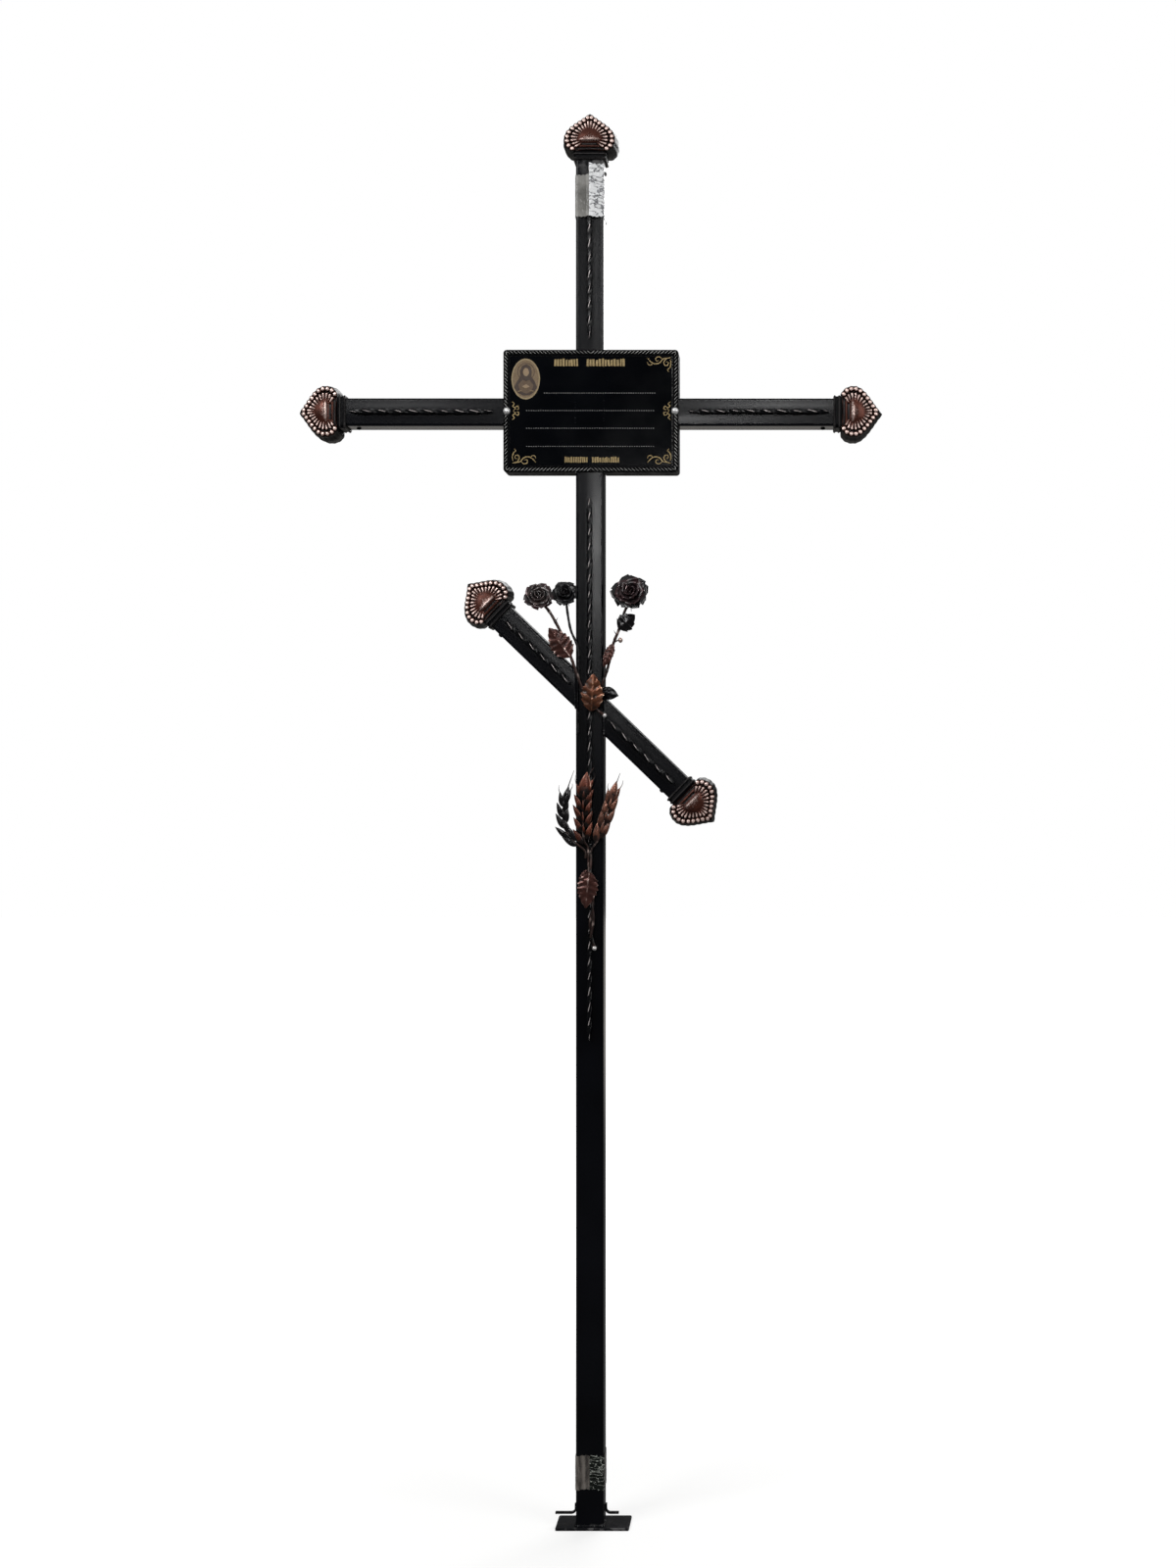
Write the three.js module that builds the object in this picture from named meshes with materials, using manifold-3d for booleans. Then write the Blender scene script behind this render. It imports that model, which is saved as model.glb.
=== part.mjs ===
// A two metre grave cross welded from square steel tube: an upright post, a cross bar and a slanted
// lower bar, each free end closed by a cast spade-shaped cap. Twisted square bars run down the front,
// a pressed name plate covers the crossing, and roses and ears of wheat are welded on below it.
//
// Millimetres, +Z up. The front looks along -Y and +X is to the right. The origin lies on the
// underside of the foot plate, under the post's axis.
import * as THREE from "three";
import { mergeVertices } from "three/addons/utils/BufferGeometryUtils.js";
import Module from "manifold-3d";

const wasm = await Module();
wasm.setup();

const DEG = Math.PI / 180;

// Seam left between neighbouring pieces
const GAP = 0.3;

// The square tube and the cross it makes
const TUBE = 40;
const TUBE_WALL = 1.5;
const TUBE_CORNER = 3;
const TOTAL_HEIGHT = 2040;
const ARM_SPAN = 840;
const ARM_HEIGHT = 1608;
const SLANT_SPAN = 494;
const SLANT_HEIGHT = 1190;
const SLANT_ANGLE = 44 * DEG;

// The foot
const FOOT_WIDTH = 106;
const FOOT_DEPTH = 56;
const FOOT_THICKNESS = 4;
const FOOT_SHIFT = 4;
const ANCHOR_HEIGHT = 19;
const ANCHOR_THICKNESS = 3;
const ANCHOR_DEPTH = 6;
const ANCHOR_BEND = 5;
const ANCHOR_UPRIGHT = 10;
const ANCHOR_REACH_LEFT = 31;
const ANCHOR_REACH_RIGHT = 20;

// The spade-shaped cap: lengths run outwards from the inner edge of its collar
const CAP_LENGTH = 70;
const CAP_WIDTH = 77;
const CAP_WIDEST_AT = 29;
const CAP_SHOULDER_AT = 11;
const CAP_SHOULDER_WIDTH = 50;
const CAP_BODY_DEPTH = 46;
const CAP_TIP_DEPTH = 22;
const CAP_SEAT = 8;
const COLLAR_WALL = 2.6;
const COLLAR_RIB = 1.2;
const BEADS_PER_SIDE = 9;
const BEAD_HEIGHT = 3.4;
const GADROON_HEIGHT = 2.6;
const BOSS_HEIGHT = 4.5;

// Small screws that hold the caps, and the bright ones that hold the plate
const CAP_SCREW_HEAD = 7;
const CAP_SCREW_RISE = 2.6;
const CAP_SCREW_SHANK = 3.4;
const CAP_SCREW_FROM_COLLAR = 15;
const PLATE_SCREW_HEAD = 10;
const PLATE_SCREW_RISE = 4;
const PLATE_SCREW_SHANK = 4;
const PLATE_SCREW_INSET = 5;
const SCREW_LENGTH_INSIDE = 3;
const SCREW_SIDES = 8;

// Twisted square bars
const BAR_SIDE = 6;
const BAR_PITCH = 88;
const BAR_STEPS_PER_TURN = 8;
const BAR_POINT = 0.4;
const BAR_CAP_CLEAR = 6;
const BAR_PLATE_CLEAR = 15;
const BAR_SLANT_START = 36;
const POST_BAR_CLEAR = 38;
const POST_BAR_LENGTH = 779;

// The name plate
const PLATE_WIDTH = 252;
const PLATE_HEIGHT = 176;
const PLATE_SHEET = 1.2;
const PLATE_SIDE = 38;
const PLATE_CORNER = 5;
const PLATE_SHIFT = 2;
const PLATE_RISE = 1;
const PLATE_NOTCH_CLEAR = 1;
const ROPE_WIDTH = 7.5;
const ROPE_RISE = 2.4;

// The bouquet and the ears
const ROSE_RIGHT_RADIUS = 25;
const ROSE_LEFT_RADIUS = 19;
const ROSE_MIDDLE_RADIUS = 17.5;
const ROSE_TILT = 20 * DEG;
const STEM_RADIUS = 2.2;
const THIN_STEM_RADIUS = 1.8;
const BUD_RADIUS = 3.3;
const LEAF_THICKNESS = 1.5;
const LEAF_FOLD = 2.5;
const LEAF_BOW = 2;
const LEAF_NOTCH = 0.78;
const LEAF_FULLNESS = 0.8;
const EARS_HEIGHT = 974;
const EAR_PAIRS = 6;
const EAR_WIDTH = 18;
const EAR_DEPTH = 9;
const EAR_CORE = 8;
const EAR_VEE = 5;
const AWN_RADIUS = 1;

const FRONT = -TUBE / 2;
const BAR_RADIUS = BAR_SIDE / Math.SQRT2;
const BAR_AXIS = FRONT - GAP - BAR_RADIUS;
const BAR_FRONT = BAR_AXIS - BAR_RADIUS;
const POST_BASE = FOOT_THICKNESS + GAP;
const PLATE_CENTRE = ARM_HEIGHT + PLATE_RISE;
const TUBE_END_BEHIND_TIP = CAP_LENGTH - CAP_SEAT;

const blackPaint = () => new THREE.MeshStandardMaterial({ color: 0x0c0c0e, roughness: 0.35, metalness: 0.3 });
const copperPaint = () => new THREE.MeshStandardMaterial({ color: 0x5c3126, roughness: 0.5, metalness: 0.5 });
const brightSteel = () => new THREE.MeshStandardMaterial({ color: 0xc4c6c8, roughness: 0.25, metalness: 1 });

// Joins and cuts

function toSolid(geometry) {
  const bare = geometry.index ? geometry.toNonIndexed() : geometry.clone();
  bare.deleteAttribute("normal");
  bare.deleteAttribute("uv");
  const merged = mergeVertices(bare, 1e-4);
  const vertProperties = new Float32Array(merged.attributes.position.array);
  const triVerts = new Uint32Array(merged.index.array);
  const made = new wasm.Manifold(new wasm.Mesh({ numProp: 3, vertProperties, triVerts }));
  if (made.volume() >= 0) return made;
  for (let i = 0; i < triVerts.length; i += 3) {
    [triVerts[i + 1], triVerts[i + 2]] = [triVerts[i + 2], triVerts[i + 1]];
  }
  return new wasm.Manifold(new wasm.Mesh({ numProp: 3, vertProperties, triVerts }));
}

function toGeometry(solid) {
  const mesh = solid.getMesh();
  const geometry = new THREE.BufferGeometry();
  geometry.setAttribute("position", new THREE.BufferAttribute(new Float32Array(mesh.vertProperties), 3));
  geometry.setIndex(new THREE.BufferAttribute(new Uint32Array(mesh.triVerts), 1));
  const flat = geometry.toNonIndexed();
  flat.computeVertexNormals();
  return flat;
}

function joined(geometries) {
  return geometries.map(toSolid).reduce((whole, piece) => whole.add(piece));
}

function meshOf(name, shape, material) {
  const geometry = shape.isBufferGeometry ? shape : toGeometry(shape);
  const mesh = new THREE.Mesh(geometry, material);
  mesh.name = name;
  return mesh;
}

// General shapes

// A closed skin over loops of points with equal counts, its ends drawn together to their centres.
function loftGeometry(loops) {
  const count = loops[0].length;
  const centreOf = (loop) => {
    const sum = new THREE.Vector3();
    for (const point of loop) sum.add(point);
    return sum.divideScalar(count);
  };
  const positions = [];
  const triangle = (a, b, c) => positions.push(a.x, a.y, a.z, b.x, b.y, b.z, c.x, c.y, c.z);
  const first = centreOf(loops[0]);
  const last = centreOf(loops[loops.length - 1]);
  for (let i = 0; i < count; i += 1) {
    const next = (i + 1) % count;
    triangle(first, loops[0][next], loops[0][i]);
    triangle(last, loops[loops.length - 1][i], loops[loops.length - 1][next]);
    for (let row = 0; row + 1 < loops.length; row += 1) {
      triangle(loops[row][i], loops[row][next], loops[row + 1][next]);
      triangle(loops[row][i], loops[row + 1][next], loops[row + 1][i]);
    }
  }
  const geometry = new THREE.BufferGeometry();
  geometry.setAttribute("position", new THREE.Float32BufferAttribute(positions, 3));
  return geometry;
}

// A thin closed sheet between a grid of front points and the same grid moved back.
function sheetGeometry(front, back) {
  const rows = front.length;
  const columns = front[0].length;
  const loops = [];
  for (let row = 0; row < rows; row += 1) {
    loops.push([...front[row], ...[...back[row]].reverse()]);
  }
  const positions = [];
  const triangle = (a, b, c) => positions.push(a.x, a.y, a.z, b.x, b.y, b.z, c.x, c.y, c.z);
  const around = loops[0].length;
  for (let i = 0; i < around; i += 1) {
    const next = (i + 1) % around;
    for (let row = 0; row + 1 < rows; row += 1) {
      triangle(loops[row][i], loops[row][next], loops[row + 1][next]);
      triangle(loops[row][i], loops[row + 1][next], loops[row + 1][i]);
    }
  }
  for (let i = 0; i + 1 < columns; i += 1) {
    triangle(front[0][i], back[0][i], back[0][i + 1]);
    triangle(front[0][i], back[0][i + 1], front[0][i + 1]);
    triangle(front[rows - 1][i], back[rows - 1][i + 1], back[rows - 1][i]);
    triangle(front[rows - 1][i], front[rows - 1][i + 1], back[rows - 1][i + 1]);
  }
  const geometry = new THREE.BufferGeometry();
  geometry.setAttribute("position", new THREE.Float32BufferAttribute(positions, 3));
  return geometry;
}

function roundedSquare(side, corner) {
  const half = side / 2;
  const shape = new THREE.Shape();
  shape.moveTo(half - corner, -half);
  shape.absarc(half - corner, -half + corner, corner, -Math.PI / 2, 0, false);
  shape.absarc(half - corner, half - corner, corner, 0, Math.PI / 2, false);
  shape.absarc(-half + corner, half - corner, corner, Math.PI / 2, Math.PI, false);
  shape.absarc(-half + corner, -half + corner, corner, Math.PI, 1.5 * Math.PI, false);
  return shape;
}

function roundedPlate(width, height, corner) {
  const shape = new THREE.Shape();
  const x = width / 2 - corner;
  const z = height / 2 - corner;
  shape.moveTo(x, -height / 2);
  shape.absarc(x, -z, corner, -Math.PI / 2, 0, false);
  shape.absarc(x, z, corner, 0, Math.PI / 2, false);
  shape.absarc(-x, z, corner, Math.PI / 2, Math.PI, false);
  shape.absarc(-x, -z, corner, Math.PI, 1.5 * Math.PI, false);
  return shape;
}

// Along local +Z: every vertex at the start or end moves to the height that its own X gives.
function prismGeometry(shape, startOf, endOf) {
  const geometry = new THREE.ExtrudeGeometry(shape, { depth: 1, bevelEnabled: false, curveSegments: 2 });
  const position = geometry.attributes.position;
  for (let i = 0; i < position.count; i += 1) {
    const x = position.getX(i);
    position.setZ(i, position.getZ(i) < 0.5 ? startOf(x) : endOf(x));
  }
  return geometry;
}

function rodGeometry(points, radius, steps, sides = 5) {
  const section = new THREE.Shape();
  for (let i = 0; i < sides; i += 1) {
    const angle = (2 * Math.PI * i) / sides;
    const move = i === 0 ? "moveTo" : "lineTo";
    section[move](radius * Math.cos(angle), radius * Math.sin(angle));
  }
  section.closePath();
  const path = new THREE.CatmullRomCurve3(points, false, "centripetal");
  return new THREE.ExtrudeGeometry(section, { steps, extrudePath: path, bevelEnabled: false });
}

// A round cutter along local Y.
function cutter(radius, from, to) {
  return new THREE.CylinderGeometry(radius, radius, to - from, SCREW_SIDES).translate(0, (from + to) / 2, 0);
}

// Tubes

// A hollow tube along local +Z whose start is cut to startOf(x). Each hole goes through one wall: z is
// its place along the tube, off its offset from the wall's centre line and turn the wall, as a turn
// about the tube's axis from the front.
function tubeSolid(startOf, end, holes) {
  const outline = roundedSquare(TUBE, TUBE_CORNER);
  const inner = TUBE / 2 - TUBE_WALL;
  const bore = new THREE.Path();
  bore.moveTo(-inner, -inner);
  bore.lineTo(inner, -inner);
  bore.lineTo(inner, inner);
  bore.lineTo(-inner, inner);
  bore.closePath();
  outline.holes.push(bore);
  let tube = toSolid(prismGeometry(outline, startOf, () => end));
  for (const { z, off = 0, turn, radius } of holes) {
    const drill = cutter(radius, FRONT - TUBE_WALL, FRONT + 2 * TUBE_WALL).translate(off, 0, z).rotateZ(turn);
    tube = tube.subtract(toSolid(drill));
  }
  return tube;
}

// Caps

// Half of the spade outline from tip to shoulder, as points with equal steps along it.
function spadeHalf(steps) {
  const half = CAP_WIDTH / 2;
  const path = new THREE.CurvePath();
  path.add(new THREE.CubicBezierCurve(
    new THREE.Vector2(0, CAP_LENGTH),
    new THREE.Vector2(half * 0.5, CAP_LENGTH - 10),
    new THREE.Vector2(half, CAP_WIDEST_AT + 18),
    new THREE.Vector2(half, CAP_WIDEST_AT),
  ));
  path.add(new THREE.CubicBezierCurve(
    new THREE.Vector2(half, CAP_WIDEST_AT),
    new THREE.Vector2(half, CAP_WIDEST_AT - 10),
    new THREE.Vector2(half * 0.85, CAP_SHOULDER_AT),
    new THREE.Vector2(CAP_SHOULDER_WIDTH / 2, CAP_SHOULDER_AT),
  ));
  return path.getSpacedPoints(steps);
}

// Rows of the carved front from the rim inwards: share of the way in, height on and between the beads.
const CAP_ROWS = [
  { share: 0, crest: 0, dip: 0, push: 0.8 },
  { share: 0.1, crest: BEAD_HEIGHT, dip: 0.4, push: 0 },
  { share: 0.21, crest: -0.8, dip: -0.8, push: 0 },
  { share: 0.33, crest: GADROON_HEIGHT, dip: -0.6, push: 0 },
  { share: 0.5, crest: -2, dip: -2, push: 0 },
  { share: 0.66, crest: BOSS_HEIGHT, dip: BOSS_HEIGHT, push: 0 },
];

function capHalfDepth(z) {
  const share = THREE.MathUtils.clamp((CAP_LENGTH - z) / (CAP_LENGTH - CAP_WIDEST_AT), 0, 1);
  return THREE.MathUtils.lerp(CAP_TIP_DEPTH, CAP_BODY_DEPTH, Math.sqrt(share)) / 2;
}

function capBodyGeometry() {
  const right = spadeHalf(2 * BEADS_PER_SIDE);
  const left = right.slice(1).reverse().map((point) => new THREE.Vector2(-point.x, point.y));
  const base = [0.4, -0.4].map((share) => new THREE.Vector2(share * CAP_SHOULDER_WIDTH, CAP_SHOULDER_AT));
  const outline = [...right, ...base, ...left];
  const centre = new THREE.Vector2(0, CAP_WIDEST_AT + 1);
  const lastBead = 2 * BEADS_PER_SIDE;
  const onCrest = (index) => {
    const step = index <= lastBead ? index : outline.length - index;
    return step === 0 || (step < lastBead && step % 2 === 1);
  };
  const ring = (share, push, depthOf) => outline.map((point, index) => {
    const flat = point.clone().lerp(centre, share);
    const outward = point.clone().sub(centre).normalize().multiplyScalar(onCrest(index) ? push : 0);
    flat.add(outward);
    return new THREE.Vector3(flat.x, depthOf(flat.y, onCrest(index)), flat.y);
  });
  const back = ring(0, CAP_ROWS[0].push, capHalfDepth);
  const front = CAP_ROWS.map((row) => (
    ring(row.share, row.push, (z, crest) => -capHalfDepth(z) - (crest ? row.crest : row.dip))
  ));
  return loftGeometry([back, ...front]);
}

function collarGeometry() {
  const inner = TUBE / 2 + GAP;
  const wall = inner + COLLAR_WALL;
  const rib = wall + COLLAR_RIB;
  const profile = [
    [0, wall], [1, rib], [2.6, rib], [4, wall], [6.4, wall], [8, rib], [9.6, rib], [CAP_SHOULDER_AT + 4, wall],
  ];
  return loftGeometry(profile.map(([z, half]) => {
    const cut = half - TUBE_CORNER - 1;
    return [
      [half, -cut], [half, cut], [cut, half], [-cut, half],
      [-half, cut], [-half, -cut], [-cut, -half], [cut, -half],
    ].map(([x, y]) => new THREE.Vector3(x, y, z));
  }));
}

function capSolid() {
  const deep = CAP_SEAT + GAP;
  const socket = new THREE.BoxGeometry(TUBE + 2 * GAP, TUBE + 2 * GAP, 2 * deep);
  return joined([capBodyGeometry(), collarGeometry()]).subtract(toSolid(socket));
}

// Screws

function screwGeometry(head, rise, shank) {
  const profile = [
    [0, -SCREW_LENGTH_INSIDE], [shank / 2, -SCREW_LENGTH_INSIDE], [shank / 2, 0], [head / 2, 0],
    [head * 0.38, rise * 0.7], [0, rise],
  ].map(([x, y]) => new THREE.Vector2(x, y));
  return new THREE.LatheGeometry(profile, SCREW_SIDES);
}

// Twisted bars

function twistedBarGeometry(length) {
  const steps = Math.max(2, Math.round((length * BAR_STEPS_PER_TURN) / BAR_PITCH));
  const geometry = new THREE.BoxGeometry(BAR_SIDE, BAR_SIDE, length, 1, 1, steps);
  const position = geometry.attributes.position;
  const turned = new THREE.Vector3();
  for (let i = 0; i < position.count; i += 1) {
    turned.fromBufferAttribute(position, i);
    const size = Math.abs(turned.z) > length / 2 - 0.001 ? BAR_POINT : 1;
    turned.x *= size;
    turned.y *= size;
    turned.applyAxisAngle(new THREE.Vector3(0, 0, 1), (2 * Math.PI * turned.z) / BAR_PITCH);
    position.setXYZ(i, turned.x, turned.y, turned.z + length / 2);
  }
  return geometry;
}

// One arm of the cross: tube, cap, cap screw and twisted bar along local +Z.
function buildArm({ name, reach, startOf, screwSide, barStart, holes = [] }) {
  const arm = new THREE.Group();
  const capBase = reach - CAP_LENGTH;
  const screwAt = capBase - CAP_SCREW_FROM_COLLAR;
  const screwTurn = (screwSide * Math.PI) / 2;
  const drilled = [...holes, { z: screwAt, turn: screwTurn, radius: CAP_SCREW_SHANK / 2 + GAP }];
  arm.add(meshOf(name.tube, tubeSolid(startOf, reach - TUBE_END_BEHIND_TIP, drilled), blackPaint()));
  const cap = meshOf(name.cap, capSolid(), copperPaint());
  cap.position.z = capBase;
  arm.add(cap);
  const screw = meshOf(
    name.screw,
    screwGeometry(CAP_SCREW_HEAD, CAP_SCREW_RISE, CAP_SCREW_SHANK),
    blackPaint(),
  );
  screw.rotation.z = -screwTurn;
  screw.position.set(screwSide * (TUBE / 2 + GAP), 0, screwAt);
  arm.add(screw);
  const barEnd = capBase - BAR_CAP_CLEAR;
  const twisted = meshOf(name.bar, twistedBarGeometry(barEnd - barStart), copperPaint());
  twisted.position.set(0, BAR_AXIS, barStart);
  arm.add(twisted);
  return arm;
}

function buildFrame() {
  const frame = new THREE.Group();
  const side = TUBE / 2 + GAP;
  const armReach = ARM_SPAN / 2;
  const plateHoleAt = (sign) => sign * PLATE_SHIFT + PLATE_WIDTH / 2 - PLATE_SCREW_INSET;

  const post = buildArm({
    name: { tube: "post_tube", cap: "cap_top", screw: "cap_screw_top", bar: "bar_top" },
    reach: TOTAL_HEIGHT,
    startOf: () => POST_BASE,
    screwSide: 1,
    barStart: PLATE_CENTRE + PLATE_HEIGHT / 2 + BAR_PLATE_CLEAR,
  });
  frame.add(post);

  for (const [word, sign] of [["left", -1], ["right", 1]]) {
    const arm = buildArm({
      name: { tube: `arm_tube_${word}`, cap: `cap_${word}`, screw: `cap_screw_${word}`, bar: `bar_${word}` },
      reach: armReach,
      startOf: () => side,
      screwSide: sign,
      barStart: PLATE_WIDTH / 2 + sign * PLATE_SHIFT + BAR_PLATE_CLEAR,
      holes: [{
        z: plateHoleAt(sign),
        off: -sign * PLATE_RISE,
        turn: 0,
        radius: PLATE_SCREW_SHANK / 2 + GAP,
      }],
    });
    arm.position.z = ARM_HEIGHT;
    arm.rotation.y = (sign * Math.PI) / 2;
    frame.add(arm);
  }

  for (const [word, turn] of [["upper", SLANT_ANGLE - Math.PI / 2], ["lower", SLANT_ANGLE + Math.PI / 2]]) {
    const along = Math.sin(turn);
    const across = Math.cos(turn);
    const wall = Math.sign(along) * side;
    const arm = buildArm({
      name: {
        tube: `slant_tube_${word}`,
        cap: `cap_slant_${word}`,
        screw: `cap_screw_slant_${word}`,
        bar: `bar_slant_${word}`,
      },
      reach: SLANT_SPAN / 2,
      startOf: (x) => (wall - x * across) / along,
      screwSide: Math.sign(along),
      barStart: BAR_SLANT_START,
    });
    arm.position.z = SLANT_HEIGHT;
    arm.rotation.y = turn;
    frame.add(arm);
  }

  const barTop = PLATE_CENTRE - PLATE_HEIGHT / 2 - POST_BAR_CLEAR;
  const postBar = meshOf("bar_post", twistedBarGeometry(POST_BAR_LENGTH), copperPaint());
  postBar.position.set(0, BAR_AXIS, barTop - POST_BAR_LENGTH);
  frame.add(postBar);
  return frame;
}

// Foot

function buildFoot() {
  const foot = new THREE.Group();
  const plate = meshOf("foot_plate", new THREE.BoxGeometry(FOOT_WIDTH, FOOT_DEPTH, FOOT_THICKNESS), blackPaint());
  plate.position.set(FOOT_SHIFT, 0, FOOT_THICKNESS / 2);
  foot.add(plate);
  for (const [word, sign, reach] of [["left", -1, ANCHOR_REACH_LEFT], ["right", 1, ANCHOR_REACH_RIGHT]]) {
    const t = ANCHOR_THICKNESS;
    const outline = new THREE.Shape();
    outline.moveTo(0, ANCHOR_BEND + ANCHOR_UPRIGHT);
    outline.lineTo(0, t + ANCHOR_BEND);
    outline.absarc(t + ANCHOR_BEND, t + ANCHOR_BEND, t + ANCHOR_BEND, Math.PI, 1.5 * Math.PI, false);
    outline.lineTo(reach, 0);
    outline.lineTo(reach, t);
    outline.absarc(t + ANCHOR_BEND, t + ANCHOR_BEND, ANCHOR_BEND, 1.5 * Math.PI, Math.PI, true);
    outline.lineTo(t, ANCHOR_BEND + ANCHOR_UPRIGHT);
    const bent = new THREE.ExtrudeGeometry(outline, {
      depth: ANCHOR_DEPTH,
      bevelEnabled: false,
      curveSegments: 4,
    });
    bent.rotateX(Math.PI / 2).translate(0, ANCHOR_DEPTH / 2, 0);
    const anchor = meshOf(`anchor_${word}`, bent, blackPaint());
    anchor.rotation.z = sign > 0 ? 0 : Math.PI;
    anchor.position.set(sign * (TUBE / 2 + GAP), 0, ANCHOR_HEIGHT - t);
    foot.add(anchor);
  }
  return foot;
}

// Name plate

function plateSolid() {
  const front = -PLATE_SHEET;
  const outer = new THREE.ExtrudeGeometry(
    roundedPlate(PLATE_WIDTH, PLATE_HEIGHT, PLATE_CORNER),
    { depth: PLATE_SIDE, bevelEnabled: false, curveSegments: 2 },
  );
  const inner = new THREE.ExtrudeGeometry(
    roundedPlate(PLATE_WIDTH - 2 * PLATE_SHEET, PLATE_HEIGHT - 2 * PLATE_SHEET, PLATE_CORNER - PLATE_SHEET),
    { depth: PLATE_SIDE, bevelEnabled: false, curveSegments: 2 },
  );
  inner.translate(0, 0, PLATE_SHEET);
  const rope = roundedPlate(PLATE_WIDTH, PLATE_HEIGHT, PLATE_CORNER);
  rope.holes.push(roundedPlate(
    PLATE_WIDTH - 2 * ROPE_WIDTH,
    PLATE_HEIGHT - 2 * ROPE_WIDTH,
    Math.max(PLATE_CORNER - ROPE_WIDTH, 1),
  ));
  const round = ROPE_WIDTH / 3;
  const border = new THREE.ExtrudeGeometry(rope, {
    depth: PLATE_SHEET,
    bevelThickness: ROPE_RISE,
    bevelSize: round,
    bevelOffset: -round,
    bevelSegments: 1,
    curveSegments: 2,
  });
  // Extrusions run along local +Z; the turn lays that along +Y, from the front face backwards.
  const lay = (geometry) => geometry.rotateX(-Math.PI / 2).translate(0, front, 0);
  const cut = TUBE + 2 * PLATE_NOTCH_CLEAR;
  const depth = 2 * PLATE_SIDE;
  const room = [
    new THREE.BoxGeometry(cut, depth, 2 * PLATE_HEIGHT).translate(-PLATE_SHIFT, PLATE_SIDE, 0),
    new THREE.BoxGeometry(2 * PLATE_WIDTH, depth, cut).translate(0, PLATE_SIDE, -PLATE_RISE),
  ];
  let plate = toSolid(lay(outer)).subtract(toSolid(lay(inner)));
  for (const notch of room) plate = plate.subtract(toSolid(notch));
  const raised = toSolid(lay(border)).subtract(toSolid(
    new THREE.BoxGeometry(2 * PLATE_WIDTH, depth, 2 * PLATE_HEIGHT).translate(0, PLATE_SIDE, 0),
  ));
  plate = plate.add(raised);
  for (const sign of [-1, 1]) {
    const x = sign * (PLATE_WIDTH / 2 - PLATE_SCREW_INSET);
    const hole = cutter(PLATE_SCREW_SHANK / 2 + GAP, 2 * front, -front).translate(x, 0, 0);
    const seat = cutter(PLATE_SCREW_HEAD / 2 + GAP, front - 2 * ROPE_RISE, front).translate(x, 0, 0);
    plate = plate.subtract(toSolid(hole)).subtract(toSolid(seat));
  }
  return plate;
}

function buildPlate() {
  const group = new THREE.Group();
  group.position.set(PLATE_SHIFT, FRONT - GAP, PLATE_CENTRE);
  group.add(meshOf("name_plate", plateSolid(), blackPaint()));
  for (const [word, sign] of [["left", -1], ["right", 1]]) {
    const screw = meshOf(
      `plate_screw_${word}`,
      screwGeometry(PLATE_SCREW_HEAD, PLATE_SCREW_RISE, PLATE_SCREW_SHANK),
      brightSteel(),
    );
    screw.rotation.x = Math.PI;
    screw.position.set(sign * (PLATE_WIDTH / 2 - PLATE_SCREW_INSET), -PLATE_SHEET - GAP, 0);
    group.add(screw);
  }
  return group;
}

// Roses

// Rings from the calyx over each whorl of petals to the heart. Radius and height are shares of the
// rose's radius; a ring with petals draws in between them by its notch, and turns them by half a petal.
const ROSE_RINGS = [
  { radius: 0.16, height: 0 },
  { radius: 0.3, height: 0.2 },
  { radius: 0.84, height: 0.3, petals: 5, notch: 0.24, turned: 0 },
  { radius: 1, height: 0.46, petals: 5, notch: 0.26, turned: 0 },
  { radius: 0.62, height: 0.38, petals: 5, notch: 0.12, turned: 0 },
  { radius: 0.72, height: 0.7, petals: 5, notch: 0.22, turned: 1 },
  { radius: 0.38, height: 0.56, petals: 5, notch: 0.1, turned: 1 },
  { radius: 0.42, height: 0.86, petals: 5, notch: 0.24, turned: 0 },
  { radius: 0.14, height: 0.72 },
];
const ROSE_SAMPLES = 20;

// The rose opens along local +Z above its calyx, whose underside is at the origin.
function roseGeometry(radius) {
  return loftGeometry(ROSE_RINGS.map(({ radius: share, height, petals = 0, notch = 0, turned = 0 }) => {
    const ring = [];
    for (let i = 0; i < ROSE_SAMPLES; i += 1) {
      const angle = (2 * Math.PI * i) / ROSE_SAMPLES;
      const phase = ((petals * i) / ROSE_SAMPLES + turned / 2) % 1;
      const between = Math.abs(2 * phase - 1);
      const out = radius * share * (1 - notch * between);
      ring.push(new THREE.Vector3(out * Math.cos(angle), out * Math.sin(angle), radius * height));
    }
    return ring;
  }));
}

const ROSE_AXIS = new THREE.Vector3(0, -Math.cos(ROSE_TILT), Math.sin(ROSE_TILT));

function buildRose(name, radius, base, turn, paint) {
  const rose = meshOf(name, roseGeometry(radius), paint());
  rose.quaternion.setFromUnitVectors(new THREE.Vector3(0, 0, 1), ROSE_AXIS);
  rose.quaternion.multiply(new THREE.Quaternion().setFromAxisAngle(new THREE.Vector3(0, 0, 1), turn));
  rose.position.copy(base);
  return rose;
}

// Leaves

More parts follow.
